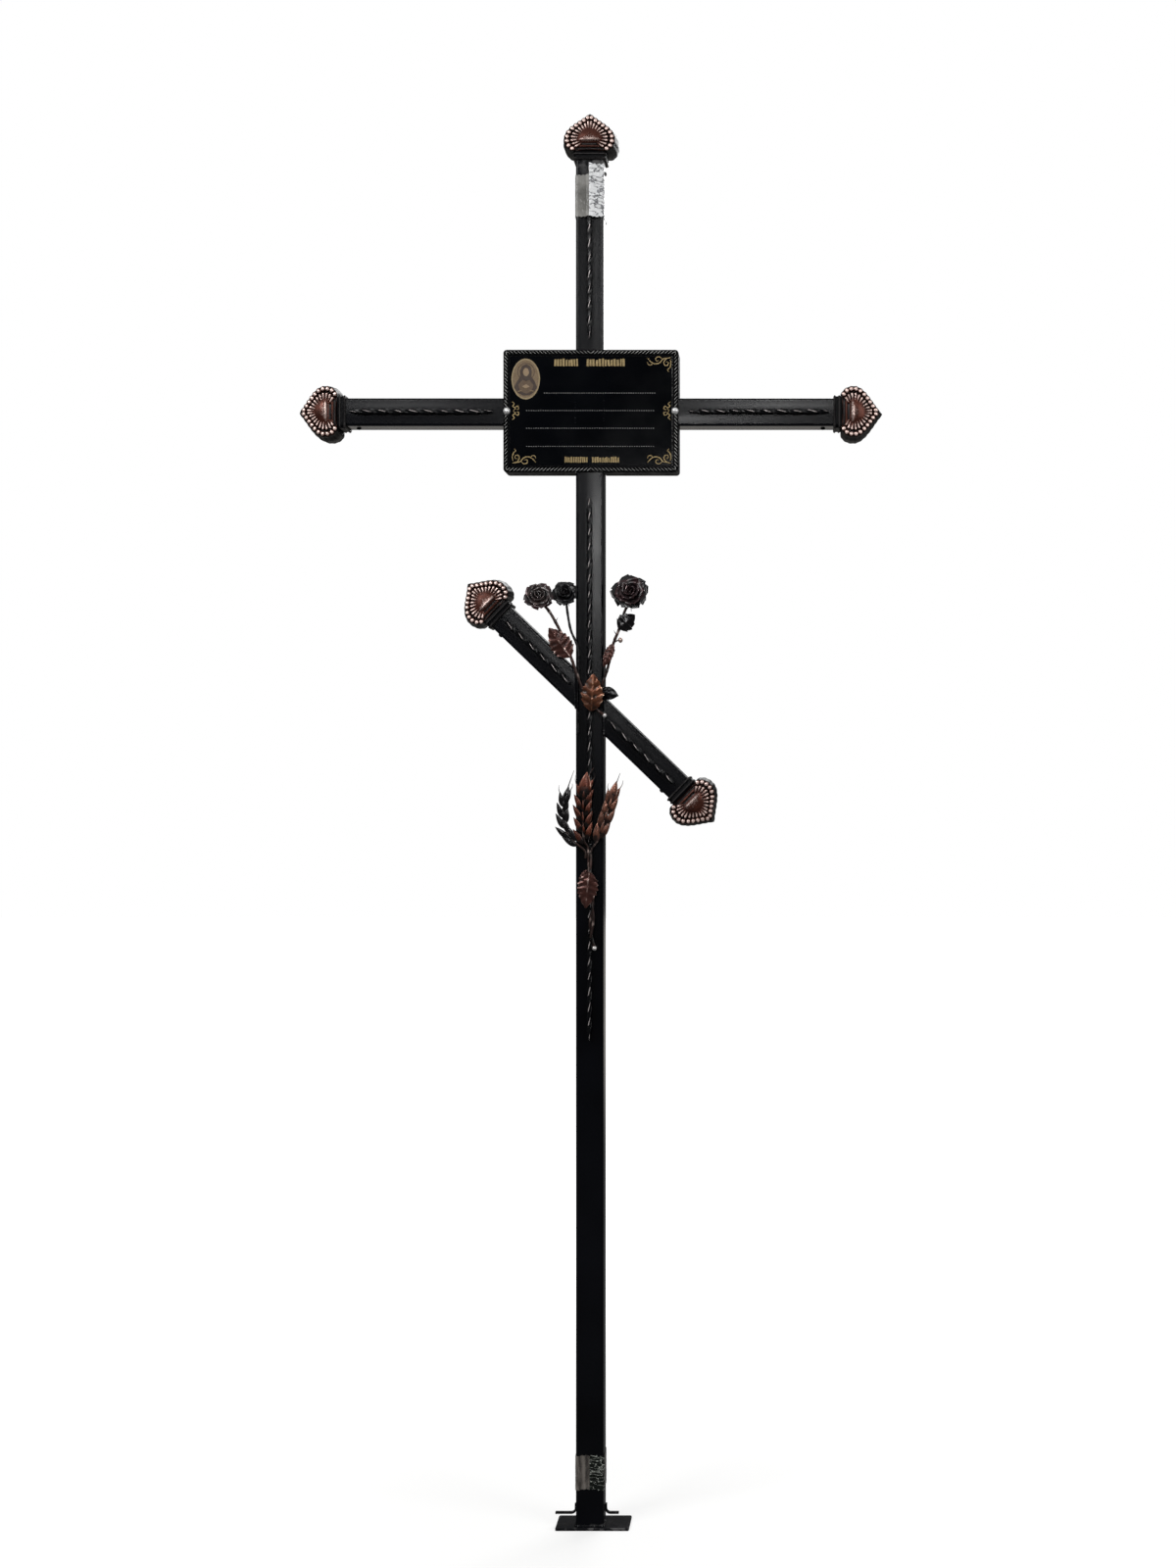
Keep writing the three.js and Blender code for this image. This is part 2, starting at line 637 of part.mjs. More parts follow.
// A leaf from its stalk to its tip with a folded midrib, toothed edges and a slight bow.
function leafGeometry({ from, to, width, teeth, fold, bow }) {
  const along = to.clone().sub(from);
  const length = along.length();
  along.normalize();
  const facing = new THREE.Vector3(0, -1, 0);
  const across = new THREE.Vector3().crossVectors(facing, along).normalize();
  const outward = new THREE.Vector3().crossVectors(along, across).normalize();
  const stations = 2 * teeth;
  const front = [];
  for (let i = 0; i <= stations; i += 1) {
    const share = i / stations;
    const swell = Math.sin(Math.PI * share ** LEAF_FULLNESS) ** LEAF_FULLNESS;
    const tooth = i % 2 === 1 ? 1 : LEAF_NOTCH;
    const half = Math.max((width / 2) * swell * tooth, LEAF_THICKNESS / 2);
    const middle = from.clone().addScaledVector(along, share * length);
    middle.addScaledVector(outward, bow * Math.sin(Math.PI * share));
    front.push([1, 0, -1].map((side) => (
      middle.clone()
        .addScaledVector(across, side * half)
        .addScaledVector(outward, Math.abs(side) * fold * swell)
    )));
  }
  const back = front.map((row) => row.map((point) => point.clone().addScaledVector(outward, -LEAF_THICKNESS)));
  return sheetGeometry(front, back);
}

// Ears of wheat

// One closed skin along the ear: a round stalk, pairs of grains that flare out and step back in, a long
// top grain and an awn. In each pair the sides run ahead of the middle, so the front shows a row of Vs.
function earGeometry({ stalk, axis, awn }) {
  const path = new THREE.CatmullRomCurve3([...stalk, ...axis], false, "centripetal");
  const lengths = path.getLengths(100);
  const stalkLength = new THREE.CatmullRomCurve3([...stalk, axis[0]], false, "centripetal").getLength();
  const start = stalkLength / lengths[100];
  const sections = [
    { share: 0, half: THIN_STEM_RADIUS, depth: THIN_STEM_RADIUS, lead: 0 },
    { share: start * 0.5, half: THIN_STEM_RADIUS, depth: THIN_STEM_RADIUS, lead: 0 },
    { share: start, half: THIN_STEM_RADIUS, depth: THIN_STEM_RADIUS, lead: 0 },
  ];
  for (let pair = 0; pair < EAR_PAIRS; pair += 1) {
    const taper = 1 - 0.2 * (pair / EAR_PAIRS) ** 2;
    const from = start + ((1 - start) * pair) / (EAR_PAIRS + 1);
    const reach = ((1 - start) * 0.86) / (EAR_PAIRS + 1);
    sections.push({ share: from + reach * 0.15, half: EAR_CORE / 2, depth: EAR_CORE / 2.4, lead: 0 });
    sections.push({
      share: from + reach,
      half: (EAR_WIDTH / 2) * taper,
      depth: (EAR_DEPTH / 2) * taper,
      lead: EAR_VEE / 2,
    });
  }
  sections.push({ share: 1 - 0.7 / (EAR_PAIRS + 1), half: EAR_CORE / 2, depth: EAR_CORE / 2.4, lead: 0 });
  sections.push({ share: 1 - 0.3 / (EAR_PAIRS + 1), half: EAR_CORE * 0.6, depth: EAR_CORE / 2.2, lead: 0 });
  sections.push({ share: 1, half: AWN_RADIUS, depth: AWN_RADIUS, lead: 0 });
  const depthAxis = new THREE.Vector3(0, 1, 0);
  const ring = (centre, along, { half, depth, lead }) => {
    const across = new THREE.Vector3().crossVectors(depthAxis, along).normalize();
    return [30, 90, 150, 210, 270, 330].map((degrees) => {
      const cos = Math.cos(degrees * DEG) / Math.cos(30 * DEG);
      return centre.clone()
        .addScaledVector(across, half * cos)
        .addScaledVector(depthAxis, depth * Math.sin(degrees * DEG))
        .addScaledVector(along, lead * (2 * Math.abs(cos) - 1));
    });
  };
  const loops = sections.map((section) => (
    ring(path.getPointAt(section.share), path.getTangentAt(section.share), section)
  ));
  const end = path.getPointAt(1);
  const reach = awn.clone().sub(end).normalize();
  loops.push(ring(awn, reach, { half: AWN_RADIUS / 3, depth: AWN_RADIUS / 3, lead: 0 }));
  return loftGeometry(loops);
}

// The bouquet is welded to the front of the post where the slanted bar crosses it. Each place is given
// to the right of the post's axis, forwards from its front face and above the crossing.
function buildBouquet() {
  const bouquet = new THREE.Group();
  const at = (right, proud, rise) => new THREE.Vector3(right, FRONT - proud, SLANT_HEIGHT + rise);
  const onFace = (radius) => GAP + radius;
  const onBar = (radius) => 2 * GAP + 2 * BAR_RADIUS + radius;
  const onStem = STEM_RADIUS + GAP + LEAF_THICKNESS;
  const stalkFrom = (base) => [
    base.clone().addScaledVector(ROSE_AXIS, -GAP),
    base.clone().addScaledVector(ROSE_AXIS, -6),
  ];

  const rightBase = at(60, 12, 152);
  bouquet.add(buildRose("rose_right", ROSE_RIGHT_RADIUS, rightBase, 0.4, copperPaint));
  const rightStem = rodGeometry([
    ...stalkFrom(rightBase), at(50, 6, 128), at(43.5, 7, 106), at(35, 6, 85), at(26.5, 4, 50),
    at(18, onFace(STEM_RADIUS) + 0.5, 24), at(12, onFace(STEM_RADIUS), 8),
  ], STEM_RADIUS, 16);
  const bud = new THREE.SphereGeometry(BUD_RADIUS, 6, 4).scale(1, 1, 1.2).applyMatrix4(placed(at(45, 8, 89)));
  const budStalk = rodGeometry([at(36, 6, 86), at(45, 8, 89)], BUD_RADIUS / 3, 1);
  const spur = leafGeometry({
    from: at(15.5, 2.5, 16), to: at(41, 10, 8), width: 22, teeth: 1, fold: -1, bow: 0,
  });
  bouquet.add(meshOf("stem_right", joined([rightStem, bud, budStalk, spur]), copperPaint()));

  const leftBase = at(-71, 14, 148);
  bouquet.add(buildRose("rose_left", ROSE_LEFT_RADIUS, leftBase, 1, copperPaint));
  const leftProud = 9.5;
  const leftStem = rodGeometry([
    ...stalkFrom(leftBase), at(-58.5, 7.5, 132), at(-46, 9, 111), at(-33.5, leftProud, 85), at(-25, 10, 62),
    at(-11.5, onBar(STEM_RADIUS), 25), at(0, onBar(STEM_RADIUS) + 0.2, 3), at(10, 8.5, -10), at(22, 6.5, -19),
  ], STEM_RADIUS, 18);
  const ball = new THREE.SphereGeometry(BUD_RADIUS, 6, 4).applyMatrix4(placed(at(22, 6.3, -19)));
  bouquet.add(meshOf("stem_left", joined([leftStem, ball]), copperPaint()));

  const between = ROSE_LEFT_RADIUS + ROSE_MIDDLE_RADIUS + GAP;
  const middleBase = at(leftBase.x + between, 5, 153);
  bouquet.add(buildRose("rose_middle", ROSE_MIDDLE_RADIUS, middleBase, 0.7, blackPaint));
  const edge = THIN_STEM_RADIUS + 1.2 - TUBE / 2;
  const flat = onFace(THIN_STEM_RADIUS);
  const middleStem = rodGeometry([
    ...stalkFrom(middleBase), at(-32, -0.5, 130), at(-27, 1, 104), at(edge, flat, 78),
    at(edge, flat, 23), at(edge, flat, -12), at(edge, flat, -50),
  ], THIN_STEM_RADIUS, 14);
  bouquet.add(meshOf("stem_middle", middleStem, blackPaint()));

  const crossing = onBar(STEM_RADIUS) + onStem;
  const leaves = [
    { name: "leaf_round", from: at(42, 7 + onStem, 105.5), to: at(66, 13, 125), width: 28, teeth: 2, fold: -1 },
    { name: "leaf_right", from: at(34.5, 6 + onStem, 84), to: at(21, 11.5, 50), width: 15, teeth: 3 },
    {
      name: "leaf_left",
      from: at(-26, leftProud + onStem + 0.5, 64),
      to: at(-57, leftProud + onStem + 1, 106),
      width: 34,
      teeth: 4,
    },
    { name: "leaf_centre", from: at(4, crossing + 0.5, -13), to: at(7, crossing + 1, 40), width: 34, teeth: 4 },
  ];
  for (const { name, ...leaf } of leaves) {
    bouquet.add(meshOf(name, leafGeometry({ fold: -LEAF_FOLD, bow: LEAF_BOW, ...leaf }), copperPaint()));
  }
  return bouquet;
}

function placed(point) {
  return new THREE.Matrix4().makeTranslation(point.x, point.y, point.z);
}

// The ears stand over the post's twisted bar, with their stems and leaf below. Places are given as for
// the bouquet, above the foot of the ears.
function buildEars() {
  const ears = new THREE.Group();
  const at = (right, proud, rise) => new THREE.Vector3(right, FRONT - proud, EARS_HEIGHT + rise);
  const bar = 2 * GAP + 2 * BAR_RADIUS;
  const lower = bar + THIN_STEM_RADIUS;
  const upper = lower + 2 * THIN_STEM_RADIUS + GAP;
  const grain = bar + EAR_DEPTH / 2;
  const pitch = 2 * THIN_STEM_RADIUS + GAP;
  const half = EAR_WIDTH / 2;
  const shapes = [
    {
      name: "ear_left",
      stalk: [at(-1 - pitch, lower, -8), at(-1 - pitch, lower, 0), at(-8, lower, 5)],
      axis: [
        at(-9 - half, grain, 13), at(-21 - half, grain, 26), at(-27 - half, grain, 50),
        at(-26 - half, grain, 74), at(-22 - half, grain, 90),
      ],
      awn: at(-12 - half, grain, 118),
    },
    {
      name: "ear_centre",
      stalk: [at(-1, lower, 0), at(-1.5, lower, 8)],
      axis: [at(-4, grain, 16), at(-6, grain, 50), at(-4, grain, 80), at(-1, grain, 104)],
      awn: at(7, grain, 122),
    },
    {
      name: "ear_right",
      stalk: [at(-1 + pitch, lower, 0), at(4.5, lower, 6)],
      axis: [at(3 + half, grain, 18), at(15 + half, grain, 35), at(21 + half, grain, 60), at(28 + half, grain, 92)],
      awn: at(36 + half, grain, 114),
    },
  ];
  for (const { name, ...shape } of shapes) {
    ears.add(meshOf(name, earGeometry(shape), copperPaint()));
  }
  const long = rodGeometry([
    at(-1, lower, -2 * GAP), at(-1, lower, -6), at(0.5, lower, -28), at(6, lower, -74), at(1.5, lower, -104),
    at(8, lower, -136),
  ], THIN_STEM_RADIUS, 14);
  const knob = new THREE.SphereGeometry(BUD_RADIUS, 6, 4).applyMatrix4(placed(at(8, lower + 1, -137)));
  ears.add(meshOf("ear_stem_long", joined([long, knob]), copperPaint()));
  const short = rodGeometry([
    at(-1 + pitch, lower, -3 * GAP), at(-1 + pitch, lower, -5), at(3.2, lower + 1.5, -12), at(2.5, upper, -24),
    at(0, upper, -48), at(7, upper, -92), at(3, upper, -122),
  ], THIN_STEM_RADIUS, 14);
  ears.add(meshOf("ear_stem_short", short, copperPaint()));
  const onTop = upper + THIN_STEM_RADIUS + GAP + LEAF_THICKNESS;
  const lowerLeaf = leafGeometry({
    from: at(1, onTop + 0.3, -27), to: at(-4, onTop + 0.8, -79), width: 31, teeth: 4, fold: -LEAF_FOLD, bow: 1,
  });
  ears.add(meshOf("leaf_lower", lowerLeaf, copperPaint()));
  const smallLeaf = leafGeometry({
    from: at(-2.4, lower, -25), to: at(-14, lower, -38), width: 7, teeth: 1, fold: -1, bow: 0,
  });
  ears.add(meshOf("leaf_small", smallLeaf, copperPaint()));
  return ears;
}

const cross = new THREE.Group();
cross.add(buildFrame());
cross.add(buildFoot());
cross.add(buildPlate());
cross.add(buildBouquet());
cross.add(buildEars());

export default cross;
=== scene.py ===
"""Looks of a two metre metal grave cross.

Enamelled square tube, five cast spade caps brushed with copper, twisted bars, a pressed name plate with a
rope border and printed lines, roses, leaves and ears of wheat. Sizes are in millimetres until a piece is
made; +Z is up and the front looks along -Y.
"""
import logging
import math
import random
from dataclasses import dataclass, field
from enum import Enum, IntEnum
from typing import Callable, Sequence

import bmesh
import bpy
import numpy as np
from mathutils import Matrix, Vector
from mathutils.geometry import delaunay_2d_cdt


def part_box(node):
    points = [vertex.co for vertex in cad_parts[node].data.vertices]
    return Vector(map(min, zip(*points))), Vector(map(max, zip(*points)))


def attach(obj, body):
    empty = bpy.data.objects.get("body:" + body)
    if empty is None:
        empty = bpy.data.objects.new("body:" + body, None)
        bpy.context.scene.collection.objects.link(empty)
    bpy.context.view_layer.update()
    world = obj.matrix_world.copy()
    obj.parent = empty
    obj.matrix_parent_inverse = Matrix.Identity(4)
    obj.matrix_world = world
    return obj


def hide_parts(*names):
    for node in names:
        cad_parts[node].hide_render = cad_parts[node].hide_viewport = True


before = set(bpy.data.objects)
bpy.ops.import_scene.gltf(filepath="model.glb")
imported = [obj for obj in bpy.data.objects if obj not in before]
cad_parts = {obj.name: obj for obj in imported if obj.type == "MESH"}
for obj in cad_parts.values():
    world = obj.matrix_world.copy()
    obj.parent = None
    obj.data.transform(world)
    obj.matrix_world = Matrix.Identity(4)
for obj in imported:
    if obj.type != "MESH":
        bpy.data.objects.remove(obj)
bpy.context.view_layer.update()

log = logging.getLogger("grave_cross")

MM = 0.001
BODY = "root"
GAP = 0.3
TUBE = 40.0
FRONT = -TUBE / 2
CAP_LENGTH = 70.0
BAR_SIDE = 6.0
OVER_BAR = 2 * GAP + BAR_SIDE * math.sqrt(2)
SLANT_HEIGHT = 1190.0
EARS_HEIGHT = 974.0

Colour = tuple[float, float, float]
Socket = bpy.types.NodeSocket
Given = dict[str, Socket]
Print = list[tuple[int, np.ndarray]]


class Slot(Enum):
    """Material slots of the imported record."""

    BLACK = "black_paint"
    COPPER = "copper_paint"
    BARS = "twisted_bars"
    STEEL = "bright_steel"
    FILM = "clear_film"


class Mark(IntEnum):
    """What each part of the name plate is finished in, in the order of its finishes."""

    ENAMEL = 0
    ROPE = 1
    GOLD = 2
    GREY = 3
    TAN = 4
    RIM = 5
    ROBE = 6
    CLOAK = 7
    SKIN = 8
    SIDES = 9


class Corner(Enum):
    """Where a printed flourish stands on the plate, with its signs to the right and downwards."""

    TOP_RIGHT = (1, -1)
    BOTTOM_LEFT = (-1, 1)
    BOTTOM_RIGHT = (1, 1)


# Shapes


def smooth(value: np.ndarray | float, low: float, high: float) -> np.ndarray:
    """Eases values from 0 where they are at low to 1 where they reach high."""
    share = np.clip((np.asarray(value, float) - low) / (high - low), 0, 1)
    return share * share * (3 - 2 * share)


def unit(vectors: np.ndarray) -> np.ndarray:
    """Scales the vectors along the last axis to length 1, and leaves those of no length at zero."""
    length = np.linalg.norm(vectors, axis=-1, keepdims=True)
    return vectors / np.maximum(length, 1e-9)


def turns(count: int) -> np.ndarray:
    """Gives equal turns round a circle, in radians, the first at 0."""
    return np.linspace(0, 2 * np.pi, count, endpoint=False)


def lathe(profile: Sequence[tuple[float, float]], count: int) -> np.ndarray:
    """Turns a profile of radii and heights round +Z into rings of count points."""
    turn = turns(count)
    ring = np.stack([np.cos(turn), np.sin(turn)], axis=1)
    return np.array([np.column_stack([radius * ring, np.full(count, z)]) for radius, z in profile])


def solid(name: str) -> tuple[np.ndarray, np.ndarray]:
    """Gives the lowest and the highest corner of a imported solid, in millimetres."""
    low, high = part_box(name)
    return np.array(low) / MM, np.array(high) / MM


def curve_through(points: Sequence[Sequence[float]], steps: int) -> np.ndarray:
    """Draws a centripetal curve through points and divides it into equal steps.

    Args:
        points: The points that the curve passes.
        steps: How many steps it is divided into.

    Returns:
        steps + 1 points along the curve.
    """
    given = np.asarray(points, float)
    if len(given) == 2:
        return given[0] + np.linspace(0, 1, steps + 1)[:, None] * (given[1] - given[0])
    full = np.vstack([2 * given[0] - given[1], given, 2 * given[-1] - given[-2]])
    dense = []
    for i in range(len(given) - 1):
        p0, p1, p2, p3 = full[i : i + 4]
        knots = [0.0]
        for a, b in ((p0, p1), (p1, p2), (p2, p3)):
            knots.append(knots[-1] + max(np.linalg.norm(b - a), 1e-6) ** 0.5)
        t0, t1, t2, t3 = knots
        t = np.linspace(t1, t2, 24, endpoint=False)[:, None]
        a1 = (t1 - t) / (t1 - t0) * p0 + (t - t0) / (t1 - t0) * p1
        a2 = (t2 - t) / (t2 - t1) * p1 + (t - t1) / (t2 - t1) * p2
        a3 = (t3 - t) / (t3 - t2) * p2 + (t - t2) / (t3 - t2) * p3
        b1 = (t2 - t) / (t2 - t0) * a1 + (t - t0) / (t2 - t0) * a2
        b2 = (t3 - t) / (t3 - t1) * a2 + (t - t1) / (t3 - t1) * a3
        dense.append((t2 - t) / (t2 - t1) * b1 + (t - t1) / (t2 - t1) * b2)
    return equal_steps(np.vstack([*dense, given[-1:]]), steps)


def equal_steps(line: np.ndarray, steps: int) -> np.ndarray:
    """Divides a line of points into equal steps.

    Args:
        line: The points of the line.
        steps: How many steps it is divided into.

    Returns:
        steps + 1 points along the line.
    """
    run = np.concatenate([[0], np.cumsum(np.linalg.norm(np.diff(line, axis=0), axis=1))])
    wanted = np.linspace(0, run[-1], steps + 1)
    return np.stack([np.interp(wanted, run, line[:, k]) for k in range(line.shape[1])], axis=1)


def tangents(path: np.ndarray) -> np.ndarray:
    """Gives the direction of a path at each of its points, as unit vectors."""
    return unit(np.gradient(path, axis=0))


def rounded_square(half: float, corner: float, arc: int = 5, crown: float = 0.0) -> np.ndarray:
    """Draws a square with rounded corners, anticlockwise from the middle of its right side.

    Args:
        half: Half of the square's side.
        corner: The radius of its corners.
        arc: Steps in each corner.
        crown: How far the middle of each side stands proud.

    Returns:
        The points of the outline, as x and y.
    """
    flat = half - corner
    side = [(half + crown, 0.0), (half + crown * 0.45, flat * 0.55), (half, flat - 0.6)]
    for i in range(arc + 1):
        turn = math.pi / 2 * i / arc
        side.append((flat + corner * math.cos(turn), flat + corner * math.sin(turn)))
    side += [(flat - 0.6, half), (flat * 0.55, half + crown * 0.45)]
    outline = []
    for quarter in range(4):
        cos, sin = round(math.cos(quarter * math.pi / 2)), round(math.sin(quarter * math.pi / 2))
        outline += [(x * cos - y * sin, x * sin + y * cos) for x, y in side]
    return np.array(outline)


class Skin:
    """Faces in millimetres that grow into one piece."""

    def __init__(self) -> None:
        """Starts without a face."""
        self._points: list[np.ndarray] = []
        self._relief: list[np.ndarray] = []
        self._faces: list[tuple[int, ...]] = []
        self._marks: list[int] = []
        self._count = 0

    def add(
        self,
        points: np.ndarray,
        faces: Sequence[Sequence[int]],
        mark: int = 0,
        relief: np.ndarray | None = None,
    ) -> None:
        """Adds points with the faces between them.

        Args:
            points: The points, in millimetres.
            faces: Faces as indices of the points.
            mark: Which of the piece's finishes the faces take.
            relief: How far each point stands out, from 0 to 1, or None to measure it later.
        """
        flat = np.asarray(points, float).reshape(-1, 3)
        self._points.append(flat)
        unknown = np.full(len(flat), np.nan)
        self._relief.append(unknown if relief is None else np.asarray(relief, float).ravel())
        self._faces.extend(tuple(self._count + i for i in face) for face in faces)
        self._marks.extend([mark] * len(faces))
        self._count += len(flat)

    @staticmethod
    def _bands(rows: int, columns: int, around: bool = True) -> list[tuple[int, ...]]:
        """Joins rows of points.

        Args:
            rows: How many rows there are.
            columns: How many points each row has.
            around: Whether each row closes on itself.

        Returns:
            The quads between the rows.
        """
        faces = []
        for low in range(0, (rows - 1) * columns, columns):
            high = low + columns
            for i in range(columns if around else columns - 1):
                right = (i + 1) % columns
                faces.append((low + i, low + right, high + right, high + i))
        return faces

    def grid(
        self, points: np.ndarray, mark: int = 0, relief: np.ndarray | None = None, around: bool = True
    ) -> None:
        """Adds quads over rows by columns of points, where each row closes on itself or stays open."""
        self.add(points, self._bands(*points.shape[:2], around), mark, relief)

    def loft(self, loops: np.ndarray, mark: int = 0, relief: np.ndarray | None = None) -> None:
        """Adds a closed skin over loops of points, with a face at each end.

        Args:
            loops: Loops by points, with equal counts.
            mark: Which of the piece's finishes the faces take.
            relief: How far each point stands out, or None.
        """
        rows, columns = loops.shape[:2]
        ends = [tuple(reversed(range(columns))), tuple(range((rows - 1) * columns, rows * columns))]
        self.add(loops, ends + self._bands(rows, columns), mark, relief)

    def rod(
        self, path: np.ndarray, radius: np.ndarray | float, sides: int = 10, mark: int = 0,
        relief: float | None = None,
    ) -> None:
        """Adds a round rod along a path.

        Args:
            path: The points of its centre line.
            radius: Its radius, one for all points or one each.
            sides: Points round the rod.
            mark: Which of the piece's finishes the faces take.
            relief: How far the rod stands out, or None to measure it.
        """
        along = tangents(path)
        first = np.cross(along[0], (0.31, 0.92, 0.24))
        across = [unit(first)]
        for step in along[1:]:
            across.append(unit(across[-1] - step * np.dot(across[-1], step)))
        side = np.array(across)
        up = np.cross(along, side)
        turn = turns(sides)
        size = np.broadcast_to(np.asarray(radius, float), (len(path),))[:, None, None]
        ring = np.cos(turn)[None, :, None] * side[:, None] + np.sin(turn)[None, :, None] * up[:, None]
        loops = path[:, None] + size * ring
        known = None if relief is None else np.full(loops.shape[:2], relief)
        self.loft(loops, mark, known)

    def sheet(
        self, front: np.ndarray, thickness: float, mark: int = 0, relief: np.ndarray | None = None
    ) -> None:
        """Adds a closed thin sheet behind a grid of points.

        Args:
            front: Rows by columns of points on its front.
            thickness: The thickness of the sheet.
            mark: Which of the piece's finishes the faces take.
            relief: How far each front point stands out, or None.
        """
        rows, columns = front.shape[:2]
        normal = unit(np.cross(np.gradient(front, axis=1), np.gradient(front, axis=0)))
        back = front - normal * thickness
        loops = np.concatenate([front, back[:, ::-1]], axis=1)
        known = None
        if relief is not None:
            known = np.concatenate([relief, relief[:, ::-1] * 0.4], axis=1)
        wide = 2 * columns
        faces = self._bands(rows, wide)
        end = (rows - 1) * wide
        for i in range(columns - 1):
            faces.append((i, wide - 1 - i, wide - 2 - i, i + 1))
            faces.append((end + i, end + i + 1, end + wide - 2 - i, end + wide - 1 - i))
        self.add(loops, faces, mark, known)

    def build(
        self, name: str, crease: float = 38.0, passes: int = 10, proud: float = 0.5
    ) -> bpy.types.Object:
        """Makes the piece, with its relief written to each point.

        Args:
            name: The piece's name.
            crease: Edges sharper than this angle, in degrees, stay crisp.
            passes: How widely the surface is smoothed to measure what stands out of it.
            proud: How many millimetres proud count as fully raised.

        Returns:
            The new object, linked to the scene.
        """
        mesh = bpy.data.meshes.new(name)
        mesh.from_pydata((np.concatenate(self._points) * MM).tolist(), [], self._faces)
        mesh.polygons.foreach_set("material_index", self._marks)
        bm = bmesh.new()
        bm.from_mesh(mesh)
        bmesh.ops.recalc_face_normals(bm, faces=bm.faces)
        bm.to_mesh(mesh)
        bm.free()
        mesh.polygons.foreach_set("use_smooth", [True] * len(mesh.polygons))
        mesh.set_sharp_from_angle(angle=math.radians(crease))
        mesh.update()
        write_relief(mesh, np.concatenate(self._relief), passes, proud)
        piece = bpy.data.objects.new(name, mesh)
        bpy.context.scene.collection.objects.link(piece)
        return piece


def write_relief(mesh: bpy.types.Mesh, known: np.ndarray, passes: int, proud: float) -> None:
    """Writes the point attribute "relief": 0 in hollows, 0.5 on flats and 1 on raised edges.

    Args:
        mesh: The mesh to mark.
        known: The relief of each point, or NaN where it is measured here.
        passes: How many times the surface is smoothed for comparison.
        proud: How many millimetres above the smoothed surface count as 1.
    """
    count = len(mesh.vertices)
    place = np.empty(count * 3)
    mesh.vertices.foreach_get("co", place)
    place = place.reshape(-1, 3)
    normal = np.empty(count * 3, np.float32)
    mesh.vertex_normals.foreach_get("vector", normal)
    normal = normal.reshape(-1, 3)
    ends = np.empty(len(mesh.edges) * 2, np.int32)
    mesh.edges.foreach_get("vertices", ends)
    one, other = ends.reshape(-1, 2).T
    share = np.maximum(np.bincount(one, minlength=count) + np.bincount(other, minlength=count), 1)
    smoothed = place.copy()
    for _ in range(passes):
        total = np.zeros_like(smoothed)
        for axis in range(3):
            total[:, axis] = np.bincount(one, smoothed[other, axis], count)
            total[:, axis] += np.bincount(other, smoothed[one, axis], count)
        smoothed = 0.5 * smoothed + 0.5 * total / share[:, None]
    height = np.einsum("ij,ij->i", place - smoothed, normal) / MM
    measured = np.clip(0.5 + 0.5 * height / proud, 0, 1)
    value = np.where(np.isnan(known), measured, known).astype(np.float32)
    attribute = mesh.attributes.new("relief", "FLOAT", "POINT")
    attribute.data.foreach_set("value", value)


# Effects that several finishes share


class Tree:
    """Adds nodes to a node tree."""

    def __init__(self, tree: bpy.types.NodeTree) -> None:
        """Keeps the node tree to work on."""
        self.tree = tree

    def node(
        self, kind: str, inputs: dict[int | str, object] | None = None, **settings: object
    ) -> bpy.types.Node:
        """Adds a node.

        Args:
            kind: The node's type, without the ShaderNode before it.
            inputs: Values or sockets for its inputs.
            **settings: Properties of the node.

        Returns:
            The new node.
        """
        made = self.tree.nodes.new(f"ShaderNode{kind}")
        for key, value in settings.items():
            setattr(made, key, value)
        for key, value in (inputs or {}).items():
            if isinstance(value, Socket):
                self.tree.links.new(value, made.inputs[key])
            else:
                made.inputs[key].default_value = value
        return made

    def maths(self, operation: str, first: object, second: object = 0.0, held: bool = True) -> Socket:
        """Adds a Math node, held between 0 and 1 or free, and returns its output."""
        return self.node("Math", {0: first, 1: second}, operation=operation, use_clamp=held).outputs[0]

    def ease(
        self, value: object, low: object, high: object, to: tuple[object, object] = (0.0, 1.0)
    ) -> Socket:
        """Adds a smooth Map Range node from low and high to the two ends and returns its output."""
        inputs = {"Value": value, "From Min": low, "From Max": high, "To Min": to[0], "To Max": to[1]}
        return self.node("MapRange", inputs, interpolation_type="SMOOTHSTEP").outputs[0]

    def noise(self, scale: object, detail: float = 3.0, place: object = None) -> Socket:
        """Adds noise over the object's own coordinates and returns its value."""
        where = place or self.node("TexCoord").outputs["Object"]
        return self.node("TexNoise", {"Vector": where, "Scale": scale, "Detail": detail}).outputs[0]

    def mix(self, mask: object, under: object, over: object) -> Socket:
        """Lays one colour over another by a mask and returns the colour."""
        full = [tuple(c) + (1.0,) if isinstance(c, tuple) and len(c) == 3 else c for c in (under, over)]
        inputs = {0: mask, 6: full[0], 7: full[1]}
        return self.node("Mix", inputs, data_type="RGBA").outputs[2]


def effect(
    name: str, inputs: dict[str, float], outputs: Sequence[str],
    draw: Callable[[Tree, Given], Sequence[Socket]],
) -> bpy.types.NodeTree:
    """Builds a shader node group once.

    Args:
        name: The group's name.
        inputs: Its inputs with their usual values.
        outputs: The names of its outputs.
        draw: Adds the nodes and returns the sockets for the outputs.

    Returns:
        The group.
    """
    known = bpy.data.node_groups.get(name)
    if known:
        return known
    group = bpy.data.node_groups.new(name, "ShaderNodeTree")
    for key, value in inputs.items():
        socket = group.interface.new_socket(name=key, in_out="INPUT", socket_type="NodeSocketFloat")
        socket.default_value = value
    for key in outputs:
        group.interface.new_socket(name=key, in_out="OUTPUT", socket_type="NodeSocketFloat")
    tree = Tree(group)
    start = group.nodes.new("NodeGroupInput")
    end = group.nodes.new("NodeGroupOutput")
    for key, socket in zip(outputs, draw(tree, {key: start.outputs[key] for key in inputs})):
        group.links.new(socket, end.inputs[key])
    return group


